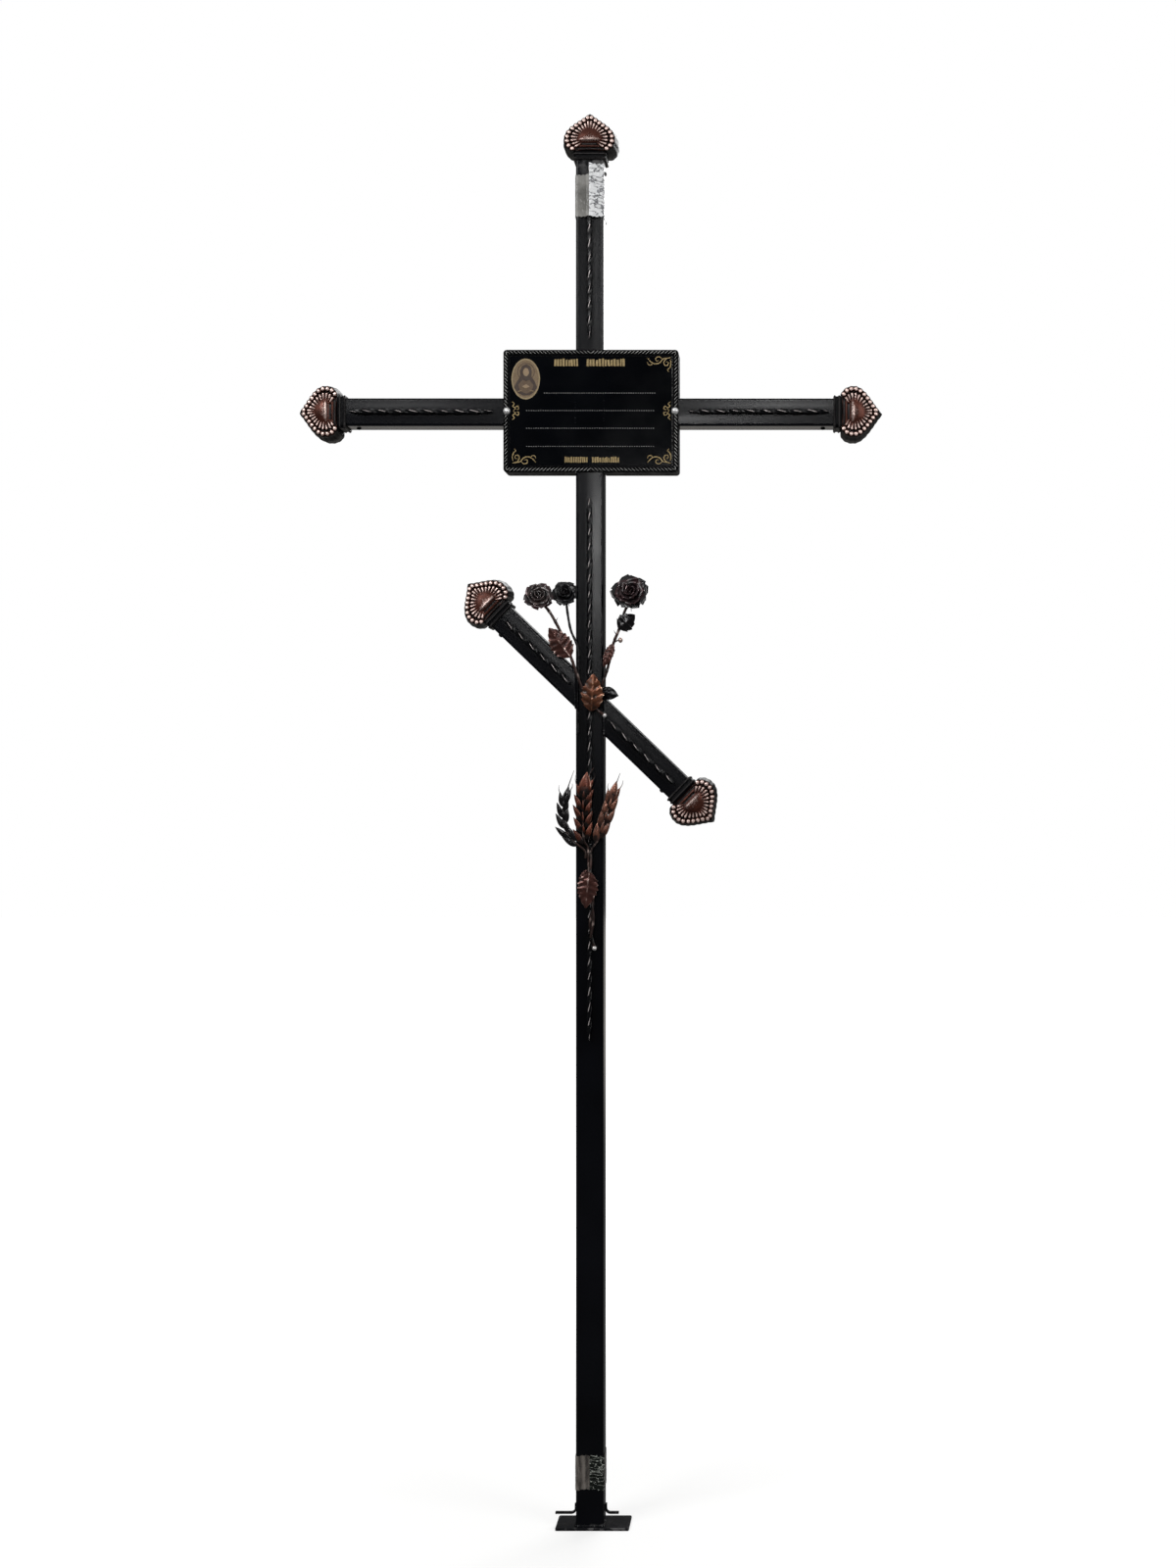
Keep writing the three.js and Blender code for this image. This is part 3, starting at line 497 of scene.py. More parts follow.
def brushed_mask() -> bpy.types.NodeTree:
    """Where a nearly dry brush leaves paint, and with the crest's settings where a painted highlight goes: on
    raised places that look to the front.
    """

    def draw(tree: Tree, given: Given) -> Sequence[Socket]:
        """Adds the nodes."""
        relief = tree.node("Attribute", attribute_name="relief").outputs["Fac"]
        streaks = tree.noise(given["Scale"], 4.0)
        uneven = tree.ease(streaks, 0.25, 0.75, (-1.0, 1.0))
        broken = tree.maths("MULTIPLY", uneven, given["Broken"], held=False)
        high = tree.maths("ADD", relief, broken, held=False)
        raised = tree.ease(high, given["From"], given["To"])
        facing = tree.node("NewGeometry").outputs["Normal"]
        depth = tree.node("SeparateXYZ", {0: facing}).outputs[1]
        front = tree.ease(depth, 0.25, -0.45)
        kept = tree.node("MapRange", {"Value": given["Front only"], "To Min": 1.0, "To Max": front})
        return [tree.maths("MULTIPLY", raised, kept.outputs[0])]

    usual = {"Scale": 300, "From": 0.45, "To": 0.9, "Front only": 1.0, "Broken": 0.22}
    return effect("brushed_mask", usual, ["Mask"], draw)


def mottling() -> bpy.types.NodeTree:
    """A value that drifts slowly between two ends over the surface."""

    def draw(tree: Tree, given: Given) -> Sequence[Socket]:
        """Adds the nodes."""
        cloud = tree.noise(given["Scale"], 2.0)
        return [tree.ease(cloud, 0.3, 0.7, (given["Low"], given["High"]))]

    return effect("mottling", {"Scale": 20, "Low": 0.0, "High": 1.0}, ["Value"], draw)


def settled_dust() -> bpy.types.NodeTree:
    """A thin veil of dust on faces that look up."""

    def draw(tree: Tree, given: Given) -> Sequence[Socket]:
        """Adds the nodes."""
        facing = tree.node("NewGeometry").outputs["Normal"]
        upward = tree.ease(tree.node("SeparateXYZ", {0: facing}).outputs[2], 0.2, 1.0)
        specks = tree.ease(tree.noise(given["Scale"], 6.0), 0.42, 0.75)
        return [tree.maths("MULTIPLY", tree.maths("MULTIPLY", upward, specks), given["Amount"])]

    return effect("settled_dust", {"Scale": 160, "Amount": 0.3}, ["Mask"], draw)


def worn_edges() -> bpy.types.NodeTree:
    """Where paint is rubbed from raised edges."""

    def draw(tree: Tree, given: Given) -> Sequence[Socket]:
        """Adds the nodes."""
        relief = tree.node("Attribute", attribute_name="relief").outputs["Fac"]
        edge = tree.ease(relief, given["From"], 1.0)
        patches = tree.ease(tree.noise(given["Scale"], 4.0), 0.46, 0.62)
        return [tree.maths("MULTIPLY", edge, patches)]

    return effect("worn_edges", {"Scale": 60, "From": 0.7}, ["Mask"], draw)


def paint_film() -> bpy.types.NodeTree:
    """The height of sprayed paint: fine orange peel over slow waves."""

    def draw(tree: Tree, given: Given) -> Sequence[Socket]:
        """Adds the nodes."""
        peel = tree.noise(given["Scale"], 2.0)
        waves = tree.noise(tree.maths("MULTIPLY", given["Scale"], 0.03, held=False))
        return [tree.maths("ADD", tree.maths("MULTIPLY", peel, 0.35), tree.maths("MULTIPLY", waves, 0.3))]

    return effect("paint_film", {"Scale": 700}, ["Height"], draw)


@dataclass(frozen=True)
class Finish:
    """A surface finish, made as one material under its own name."""

    name: str

    def material(self) -> bpy.types.Material:
        """Makes the material once.

        Returns:
            The material.
        """
        known = bpy.data.materials.get(self.name)
        if known:
            return known
        made = bpy.data.materials.new(self.name)
        made.use_nodes = True
        made.node_tree.nodes.clear()
        tree = Tree(made.node_tree)
        shader = tree.node("BsdfPrincipled")
        end = tree.node("OutputMaterial")
        made.node_tree.links.new(shader.outputs[0], end.inputs[0])
        self.paint(tree, shader)
        return made

    def paint(self, tree: Tree, shader: bpy.types.Node) -> None:
        """Fills in the Principled shader with nodes of the material's tree."""
        raise NotImplementedError

    @staticmethod
    def use(tree: Tree, group: bpy.types.NodeTree, **inputs: float) -> Socket:
        """Places an effect with its own values.

        Args:
            tree: The material's nodes.
            group: The effect.
            **inputs: Values by input name, with _ for a space.

        Returns:
            The effect's first output.
        """
        made = tree.node("Group", node_tree=group)
        for key, value in inputs.items():
            made.inputs[key.replace("_", " ")].default_value = value
        return made.outputs[0]

    @staticmethod
    def bump(tree: Tree, shader: bpy.types.Node, height: Socket, strength: float, depth: float) -> None:
        """Feeds a height to the shader's normal, strength as a share and depth in millimetres."""
        made = tree.node("Bump", {"Strength": strength, "Distance": depth * MM, "Height": height})
        tree.tree.links.new(made.outputs[0], shader.inputs["Normal"])

    @staticmethod
    def feed(tree: Tree, shader: bpy.types.Node, **sockets: Socket) -> None:
        """Links sockets to the shader's inputs, named with _ for a space."""
        for key, socket in sockets.items():
            tree.tree.links.new(socket, shader.inputs[key.replace("_", " ")])


@dataclass(frozen=True)
class BlackEnamel(Finish):
    """Sprayed black enamel: slightly uneven gloss, orange peel, dust and rubbed edges."""

    deep: Colour = (0.0012, 0.0014, 0.0022)
    pale: Colour = (0.0032, 0.0036, 0.0055)
    dust: Colour = (0.10, 0.098, 0.092)
    rubbed: Colour = (0.10, 0.098, 0.10)
    gloss: tuple[float, float] = (0.19, 0.21)
    shine: float = 0.22
    dusty: float = 0.10
    wear: float = 0.75

    def paint(self, tree: Tree, shader: bpy.types.Node) -> None:
        """Fills in the shader."""
        drift = self.use(tree, mottling(), Scale=9.0)
        base = tree.mix(drift, self.deep, self.pale)
        base = tree.mix(self.use(tree, worn_edges(), Scale=70.0, From=self.wear), base, self.rubbed)
        veil = self.use(tree, settled_dust(), Scale=120.0, Amount=self.dusty)
        self.feed(
            tree, shader, Base_Color=tree.mix(veil, base, self.dust),
            Roughness=self.use(tree, mottling(), Scale=26.0, Low=self.gloss[0], High=self.gloss[1]),
        )
        shader.inputs["Specular IOR Level"].default_value = self.shine
        self.bump(tree, shader, self.use(tree, paint_film(), Scale=520.0), 0.05, 0.08)


@dataclass(frozen=True)
class BrushedMetal(Finish):
    """Black metal brushed with a paler paint: nearly bare hollows, a tinted body and pale crests, which are
    partly dry-brushed paint and partly a painted highlight.
    """

    hollow: Colour = (0.005, 0.0025, 0.0022)
    body: Colour = (0.105, 0.030, 0.020)
    # The crest colour is partly dry-brushed paint and partly a painted highlight.
    crest: Colour = (0.82, 0.62, 0.55)
    body_at: tuple[float, float] = (0.24, 0.56)
    crest_and_highlight_at: tuple[float, float] = (0.66, 0.98)
    front_only: float = 1.0
    gloss: tuple[float, float] = (0.30, 0.48)
    metallic: float = 0.55
    grain: float = 420.0
    broken: float = 0.12
    shine: float = 0.5

    def paint(self, tree: Tree, shader: bpy.types.Node) -> None:
        """Fills in the shader."""
        shared = {"Front_only": self.front_only, "Broken": self.broken}
        body, crest = (
            self.use(tree, brushed_mask(), Scale=scale, From=low, To=high, **shared)
            for scale, (low, high) in ((self.grain, self.body_at), (self.grain * 1.7, self.crest_and_highlight_at))
        )
        tint = tree.mix(self.use(tree, mottling(), Scale=70.0), self.body, tuple(c * 0.55 for c in self.body))
        # Pale crests over the body: dry-brushed paint and a painted highlight.
        base = tree.mix(crest, tree.mix(body, self.hollow, tint), self.crest)
        veil = self.use(tree, settled_dust(), Scale=200.0, Amount=0.12)
        self.feed(
            tree, shader, Base_Color=tree.mix(veil, base, (0.16, 0.13, 0.12)),
            Roughness=self.use(tree, mottling(), Scale=60.0, Low=self.gloss[0], High=self.gloss[1]),
            Metallic=tree.ease(body, 0.0, 1.0, (0.05, self.metallic)),
        )
        shader.inputs["Specular IOR Level"].default_value = self.shine
        self.bump(tree, shader, self.use(tree, paint_film(), Scale=900.0), 0.5, 0.25)


@dataclass(frozen=True)
class BrightSteel(Finish):
    """Plated steel, mottled in colour and gloss, with a fine bump."""

    light: Colour = (0.96, 0.96, 0.95)
    dull: Colour = (0.66, 0.66, 0.66)

    def paint(self, tree: Tree, shader: bpy.types.Node) -> None:
        """Fills in the shader."""
        base = tree.mix(self.use(tree, mottling(), Scale=400.0), self.light, self.dull)
        self.feed(
            tree, shader, Base_Color=base,
            Roughness=self.use(tree, mottling(), Scale=900.0, Low=0.25, High=0.45),
        )
        shader.inputs["Metallic"].default_value = 0.45
        self.bump(tree, shader, self.use(tree, paint_film(), Scale=1500.0), 0.15, 0.05)


@dataclass(frozen=True)
class PrintedInk(Finish):
    """Ink on enamel: slightly uneven colour and gloss, with a fine bump."""

    ink: Colour = (0.45, 0.33, 0.14)
    faded: Colour = (0.22, 0.16, 0.07)
    metallic: float = 0.25

    def paint(self, tree: Tree, shader: bpy.types.Node) -> None:
        """Fills in the shader."""
        base = tree.mix(self.use(tree, mottling(), Scale=900.0), self.ink, self.faded)
        self.feed(
            tree, shader, Base_Color=base,
            Roughness=self.use(tree, mottling(), Scale=300.0, Low=0.38, High=0.6),
        )
        shader.inputs["Metallic"].default_value = self.metallic
        self.bump(tree, shader, self.use(tree, paint_film(), Scale=1200.0), 0.2, 0.05)


@dataclass(frozen=True)
class ClearFilm(Finish):
    """Thin wrinkled packing film, milky in its folds."""

    tint: Colour = (0.62, 0.63, 0.64)
    pale: Colour = (0.85, 0.86, 0.87)
    clear: float = 0.16
    milky: float = 0.62
    scale: float = 60.0
    pressed: Colour = (1.0, 1.0, 3.2)
    raised: tuple[float, float] = (0.12, 0.46)
    creased: bool = False

    def paint(self, tree: Tree, shader: bpy.types.Node) -> None:
        """Fills in the shader."""
        where = tree.node("TexCoord").outputs["Object"]
        laid = tree.node("Mapping", {"Vector": where, "Scale": self.pressed}).outputs[0]
        folds = tree.noise(self.scale, 3.0 if self.creased else 6.0, laid)
        relief = tree.node("Attribute", attribute_name="relief").outputs["Fac"]
        body = tree.maths("MULTIPLY", folds, relief, held=False)
        if self.creased:
            off = tree.maths("SUBTRACT", folds, 0.5, held=False)
            body = tree.maths("ABSOLUTE", off, held=False)
        raised = tree.ease(body, *self.raised)
        self.feed(
            tree, shader, Base_Color=tree.mix(raised, self.tint, self.pale),
            Alpha=tree.ease(raised, 0.0, 1.0, (self.clear, self.milky)),
            Roughness=tree.ease(folds, 0.3, 0.7, (0.16, 0.4)),
        )
        shader.inputs["IOR"].default_value = 1.5
        self.bump(tree, shader, folds, 0.6, 1.2)


@dataclass(frozen=True)
class PaleFloor(Finish):
    """A plain pale floor that lightens away from the foot."""

    near: Colour = (0.42, 0.42, 0.415)
    glow: Colour = (0.62, 0.62, 0.62)
    far: Colour = (0.42, 0.40, 0.375)
    dim: Colour = (0.10, 0.10, 0.10)

    def paint(self, tree: Tree, shader: bpy.types.Node) -> None:
        """Fills in the shader."""
        seen = tree.node("LightPath").outputs["Is Camera Ray"]
        base = tree.mix(self.use(tree, mottling(), Scale=3.0), self.near, tuple(c * 0.985 for c in self.near))
        base = tree.mix(seen, self.dim, base)
        where = tree.node("NewGeometry").outputs["Position"]
        away = tree.node("VectorMath", {0: where}, operation="LENGTH").outputs["Value"]
        glow = tree.mix(tree.ease(away, 0.2, 1.6), self.glow, (1.0, 1.0, 1.0))
        behind = tree.mix(
            tree.ease(tree.node("SeparateXYZ", {0: where}).outputs[1], 2.5, 6.0), (0.0, 0.0, 0.0), self.far
        )
        self.feed(
            tree, shader, Base_Color=base,
            Roughness=self.use(tree, mottling(), Scale=6.0, Low=0.7, High=0.85),
            Emission_Color=tree.mix(seen, behind, glow),
        )
        shader.inputs["Emission Strength"].default_value = 1.0
        shader.inputs["Specular IOR Level"].default_value = 0.1


ENAMEL = BlackEnamel("black_enamel")
PLATE_ENAMEL = BlackEnamel(
    "plate_enamel", deep=(0.0010, 0.0014, 0.0022), pale=(0.0018, 0.0024, 0.0037), gloss=(0.09, 0.13),
    shine=0.08, dusty=0.05,
)
FOLDED_ENAMEL = BlackEnamel("folded_enamel", gloss=(0.52, 0.60), shine=0.05, dusty=0.05, wear=0.98)
# Black enamel rope; its pale grey crests are painted highlights on the strands.
ROPE_ENAMEL_PAINTED_HIGHLIGHT = BrushedMetal(
    "rope_enamel_painted_highlight", hollow=(0.0012, 0.0014, 0.0018), body=(0.008, 0.008, 0.009), crest=(0.60, 0.60, 0.58),
    body_at=(0.4, 0.75), crest_and_highlight_at=(0.70, 0.98), front_only=0.0, metallic=0.1, grain=500.0, shine=0.12,
)
WELD = BlackEnamel("painted_weld", gloss=(0.30, 0.45), dusty=0.18, wear=0.97)
# Near-white crests on the caps' beads, gadroons and boss ridge: copper brushing and a painted highlight.
CAST_COPPER = BrushedMetal(
    "cast_copper", hollow=(0.0045, 0.0022, 0.0020), body=(0.115, 0.034, 0.021), crest=(1.0, 0.78, 0.71),
    body_at=(0.2, 0.52), crest_and_highlight_at=(0.60, 0.92), broken=0.14, shine=0.35,
)
CAST_BLACK = BrushedMetal(
    "cast_black", hollow=(0.0016, 0.0018, 0.0024), body=(0.0025, 0.0024, 0.003), crest=(0.035, 0.032, 0.032),
    metallic=0.0, crest_and_highlight_at=(0.78, 0.98), front_only=0.4, gloss=(0.36, 0.48), shine=0.10,
)
LEAF_COPPER = BrushedMetal(
    "leaf_copper", hollow=(0.010, 0.005, 0.005), body=(0.105, 0.040, 0.032), crest=(0.78, 0.58, 0.52),
    body_at=(0.16, 0.5), crest_and_highlight_at=(0.60, 0.98), front_only=0.5, gloss=(0.20, 0.36), grain=90.0,
)
BRIGHT_LEAF = BrushedMetal(
    "leaf_bright_copper", hollow=(0.020, 0.008, 0.004), body=(0.24, 0.085, 0.042), crest=(0.86, 0.60, 0.44),
    body_at=(0.22, 0.6), crest_and_highlight_at=(0.62, 0.98), front_only=0.5, gloss=(0.18, 0.3), grain=45.0, broken=0.2,
)
EAR_COPPER = BrushedMetal(
    "ear_copper", hollow=(0.006, 0.003, 0.0025), body=(0.18, 0.048, 0.026), crest=(0.92, 0.60, 0.46),
    body_at=(0.22, 0.50), crest_and_highlight_at=(0.60, 0.96), front_only=0.6, gloss=(0.2, 0.34), grain=120.0,
)
# The ear's grey-white crests are painted glints on dark metal.
EAR_DARK = BrushedMetal(
    "ear_dark", hollow=(0.004, 0.0035, 0.004), body=(0.020, 0.017, 0.019), crest=(0.66, 0.65, 0.64),
    body_at=(0.3, 0.66), crest_and_highlight_at=(0.56, 0.9), front_only=0.4, gloss=(0.18, 0.34), grain=120.0,
)
EAR_LIGHT = BrushedMetal(
    "ear_light_copper", hollow=(0.012, 0.006, 0.005), body=(0.26, 0.105, 0.068), crest=(1.0, 0.80, 0.70),
    body_at=(0.22, 0.48), crest_and_highlight_at=(0.56, 0.92), front_only=0.6, gloss=(0.2, 0.34), grain=120.0,
)
STEM_METAL = BrushedMetal(
    "stem_metal", hollow=(0.005, 0.004, 0.004), body=(0.07, 0.036, 0.030), crest=(0.62, 0.48, 0.43),
    body_at=(0.40, 0.66), crest_and_highlight_at=(0.60, 0.80), front_only=0.5, metallic=0.6, grain=60.0, broken=0.17,
)
# Grey crests on the middle rose, spur and dark stem are a painted sheen.
DARK_METAL = BrushedMetal(
    "dark_metal", hollow=(0.002, 0.002, 0.0028), body=(0.009, 0.0085, 0.011), crest=(0.26, 0.25, 0.26),
    body_at=(0.3, 0.7), crest_and_highlight_at=(0.76, 1.05), front_only=0.3, metallic=0.3, gloss=(0.18, 0.3), broken=0.14,
    shine=0.35,
)
# Dark iron whose pale crest is a painted glint on the corner that faces the front.
TWISTED_IRON_PAINTED_GLINT = BrushedMetal(
    "twisted_iron_painted_glint", hollow=(0.0016, 0.0018, 0.0025), body=(0.010, 0.010, 0.012), crest=(0.62, 0.56, 0.55),
    body_at=(0.3, 0.7), crest_and_highlight_at=(0.66, 0.96), front_only=0.6, metallic=0.2, grain=120.0, gloss=(0.2, 0.32),
    broken=0.26, shine=0.3,
)
# Grey crests on the dark petals are a painted sheen on their rims.
ROSE_DARK = BrushedMetal(
    "rose_dark", hollow=(0.002, 0.002, 0.0026), body=(0.014, 0.012, 0.014), crest=(0.40, 0.36, 0.37),
    body_at=(0.3, 0.7), crest_and_highlight_at=(0.70, 1.0), front_only=0.2, metallic=0.35, gloss=(0.14, 0.28), grain=110.0,
)
ROSE_HEART = BrushedMetal(
    "rose_heart", hollow=(0.008, 0.005, 0.006), body=(0.105, 0.050, 0.054), crest=(0.88, 0.70, 0.69),
    body_at=(0.2, 0.6), crest_and_highlight_at=(0.62, 0.98), front_only=0.2, gloss=(0.14, 0.30), grain=110.0,
)
# Pale silver crests over a broad part of the inner petals and the knobs: silver brushing and a painted
# highlight.
ROSE_SILVER = BrushedMetal(
    "rose_silver", hollow=(0.008, 0.006, 0.007), body=(0.11, 0.078, 0.074), crest=(0.95, 0.92, 0.90),
    body_at=(0.2, 0.5), crest_and_highlight_at=(0.40, 0.74), front_only=0.1, metallic=0.6, gloss=(0.14, 0.28), grain=110.0,
)
STEEL = BrightSteel("bright_steel_finish")
GOLD_INK = PrintedInk("gold_ink")
GREY_INK = PrintedInk("grey_ink", ink=(0.26, 0.26, 0.25), faded=(0.13, 0.13, 0.13), metallic=0.0)
TAN_INK = PrintedInk("tan_ink", ink=(0.235, 0.155, 0.078), faded=(0.155, 0.10, 0.046), metallic=0.0)
RIM_INK = PrintedInk("rim_ink", ink=(0.40, 0.31, 0.17), faded=(0.26, 0.19, 0.10), metallic=0.1)
ROBE_INK = PrintedInk("robe_ink", ink=(0.055, 0.028, 0.014), faded=(0.035, 0.018, 0.010), metallic=0.0)
CLOAK_INK = PrintedInk("cloak_ink", ink=(0.14, 0.085, 0.04), faded=(0.09, 0.05, 0.025), metallic=0.0)
SKIN_INK = PrintedInk("skin_ink", ink=(0.36, 0.25, 0.14), faded=(0.27, 0.18, 0.10), metallic=0.0)
SILVER_FILM = ClearFilm(
    "silver_film", tint=(0.30, 0.31, 0.33), pale=(0.98, 0.99, 1.0), clear=0.5, milky=1.0, scale=55.0,
    raised=(0.0, 0.055), creased=True,
)
SMOOTH_FILM = ClearFilm(
    "smooth_film", tint=(0.15, 0.15, 0.135), pale=(0.36, 0.35, 0.33), clear=0.7, milky=0.95, scale=7.0
)
BROWN_FILM = ClearFilm(
    "brown_film", tint=(0.035, 0.030, 0.028), pale=(0.30, 0.27, 0.24), clear=0.6, milky=0.9, scale=34.0,
    pressed=(4.0, 4.0, 0.8),
)
GREEN_FILM = ClearFilm(
    "green_film", tint=(0.018, 0.024, 0.018), pale=(0.50, 0.53, 0.48), clear=0.45, milky=0.95, scale=55.0,
    raised=(0.03, 0.0), creased=True,
)
FLOOR = PaleFloor("pale_floor")


# Sub-assemblies


@dataclass
class Piece:
    """A made object with what it stands for and what it is finished in."""

    made: bpy.types.Object
    slot: Slot
    finishes: tuple[Finish, ...]
    stands_for: tuple[str, ...] = ()


@dataclass
class Assembly:
    """A sub-assembly of the cross, which builds its pieces and then dresses them."""

    pieces: list[Piece] = field(default_factory=list, init=False)

    def build(self) -> None:
        """Makes the meshes of the sub-assembly."""
        raise NotImplementedError

    def keep(
        self, skin: Skin, name: str, slot: Slot, finishes: Sequence[Finish], *nodes: str, **shape: float
    ) -> None:
        """Builds a skin into a piece, with the solids it stands for and the settings of Skin.build."""
        self.pieces.append(Piece(skin.build(name, **shape), slot, tuple(finishes), nodes))

    def dress(self) -> None:
        """Gives each piece its materials and its place in the frame."""
        for piece in self.pieces:
            for finish in piece.finishes:
                piece.made.data.materials.append(finish.material())
            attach(piece.made, BODY)
            if piece.stands_for:
                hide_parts(*piece.stands_for)
            log.info("%s: %d faces", piece.made.name, len(piece.made.data.polygons))


@dataclass(frozen=True)
class Arm:
    """One arm of the cross along its own +Z: the word in its solids' names, its tube and its measures."""

    word: str
    tube: str
    height: float
    turn: float
    reach: float
    screw_side: int
    bar_from: float
    bar_to: float

    def world(self, points: np.ndarray) -> np.ndarray:
        """Turns points from the arm's own frame into the cross's.

        Args:
            points: Points whose last axis is x, y and z.

        Returns:
            The points in the frame of the cross.
        """
        cos, sin = math.cos(self.turn), math.sin(self.turn)
        x, y, z = points[..., 0], points[..., 1], points[..., 2]
        return np.stack([x * cos + z * sin, y, self.height - x * sin + z * cos], axis=-1)

    def start(self, x: np.ndarray) -> np.ndarray:
        """Where the tube starts, at each place across it.

        Args:
            x: Places across the tube.

        Returns:
            The start along the arm.
        """
        along, across = math.sin(self.turn), math.cos(self.turn)
        if abs(along) < 1e-6:
            return np.full_like(x, 4.0 + GAP)
        wall = math.copysign(TUBE / 2 + GAP, along)
        return (wall - x * across) / along


def arms_of_cross() -> list[Arm]:
    """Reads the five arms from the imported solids.

    Returns:
        The arms, the post first.
    """
    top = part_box("cap_top")[1].z / MM
    low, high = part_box("arm_tube_left")
    height = (low.z + high.z) / 2 / MM
    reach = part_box("cap_right")[1].x / MM
    bar_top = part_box("bar_top")[0].z / MM
    slant = math.radians(44)
    left, right = -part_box("bar_left")[1].x / MM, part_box("bar_right")[0].x / MM
    capped = CAP_LENGTH + 6
    quarter = math.pi / 2
    slant_reach = 247.0
    arms = [
        Arm("top", "post_tube", 0, 0, top, 1, bar_top, top - capped),
        Arm("left", "arm_tube_left", height, -quarter, reach, -1, left, reach - capped),
        Arm("right", "arm_tube_right", height, quarter, reach, 1, right, reach - capped),
    ]
    for word, turn, side in (("upper", slant - quarter, -1), ("lower", slant + quarter, 1)):
        end = slant_reach - capped
        arms.append(
            Arm(f"slant_{word}", f"slant_tube_{word}", SLANT_HEIGHT, turn, slant_reach, side, 36, end)
        )
    return arms


@dataclass
class TubeFrame(Assembly):
    """Square tubes with rounded corners, welded to the post."""

    arms: Sequence[Arm] = ()
    wall: float = 1.5
    corner: float = 3.2
    crown: float = 0.5
    seat: float = 8.0
    bead: float = 1.5

    def build(self) -> None:
        """Makes the tubes and the weld beads between them."""
        outer = rounded_square(TUBE / 2, self.corner, 6, self.crown)
        inner = rounded_square(TUBE / 2 - self.wall, self.corner - self.wall, 6)
        for arm in self.arms:
            end = arm.reach - CAP_LENGTH + self.seat
            skin = Skin()
            rows = []
            for ring, share in (
                (inner, 0.0), (outer, 0.0), (outer, 0.003), *((outer, s) for s in np.linspace(0.04, 1, 25)),
                (inner, 1.0)
            ):
                start = arm.start(ring[:, 0])
                rows.append(np.column_stack([ring, start + share * (end - start)]))
            rows.append(rows[0])
            skin.grid(arm.world(np.array(rows)))
            self.keep(skin, f"{arm.tube}_enamelled", Slot.BLACK, [ENAMEL], arm.tube, passes=4, proud=0.6)
        self._weld()

    def _weld(self) -> None:
        """Makes the weld beads where the side tubes meet the post."""
        rng = random.Random(7)
        skin = Skin()
        side = rounded_square(TUBE / 2 + 0.2, self.corner, 4)
        for arm in self.arms[1:]:
            for start in (0, len(side) // 2):
                half = np.roll(side, -start, axis=0)[: len(side) // 2 + 1]
                loop = arm.world(np.column_stack([half, arm.start(half[:, 0]) + 0.2]))
                path = equal_steps(loop, 70)
                ripple = [
                    self.bead * (0.8 + 0.2 * math.sin(i * 1.9) + rng.uniform(-0.08, 0.08)) for i in range(71)
                ]
                skin.rod(path, np.array(ripple), 8)
        self.keep(skin, "tube_welds", Slot.BLACK, [WELD], passes=6, proud=0.4)


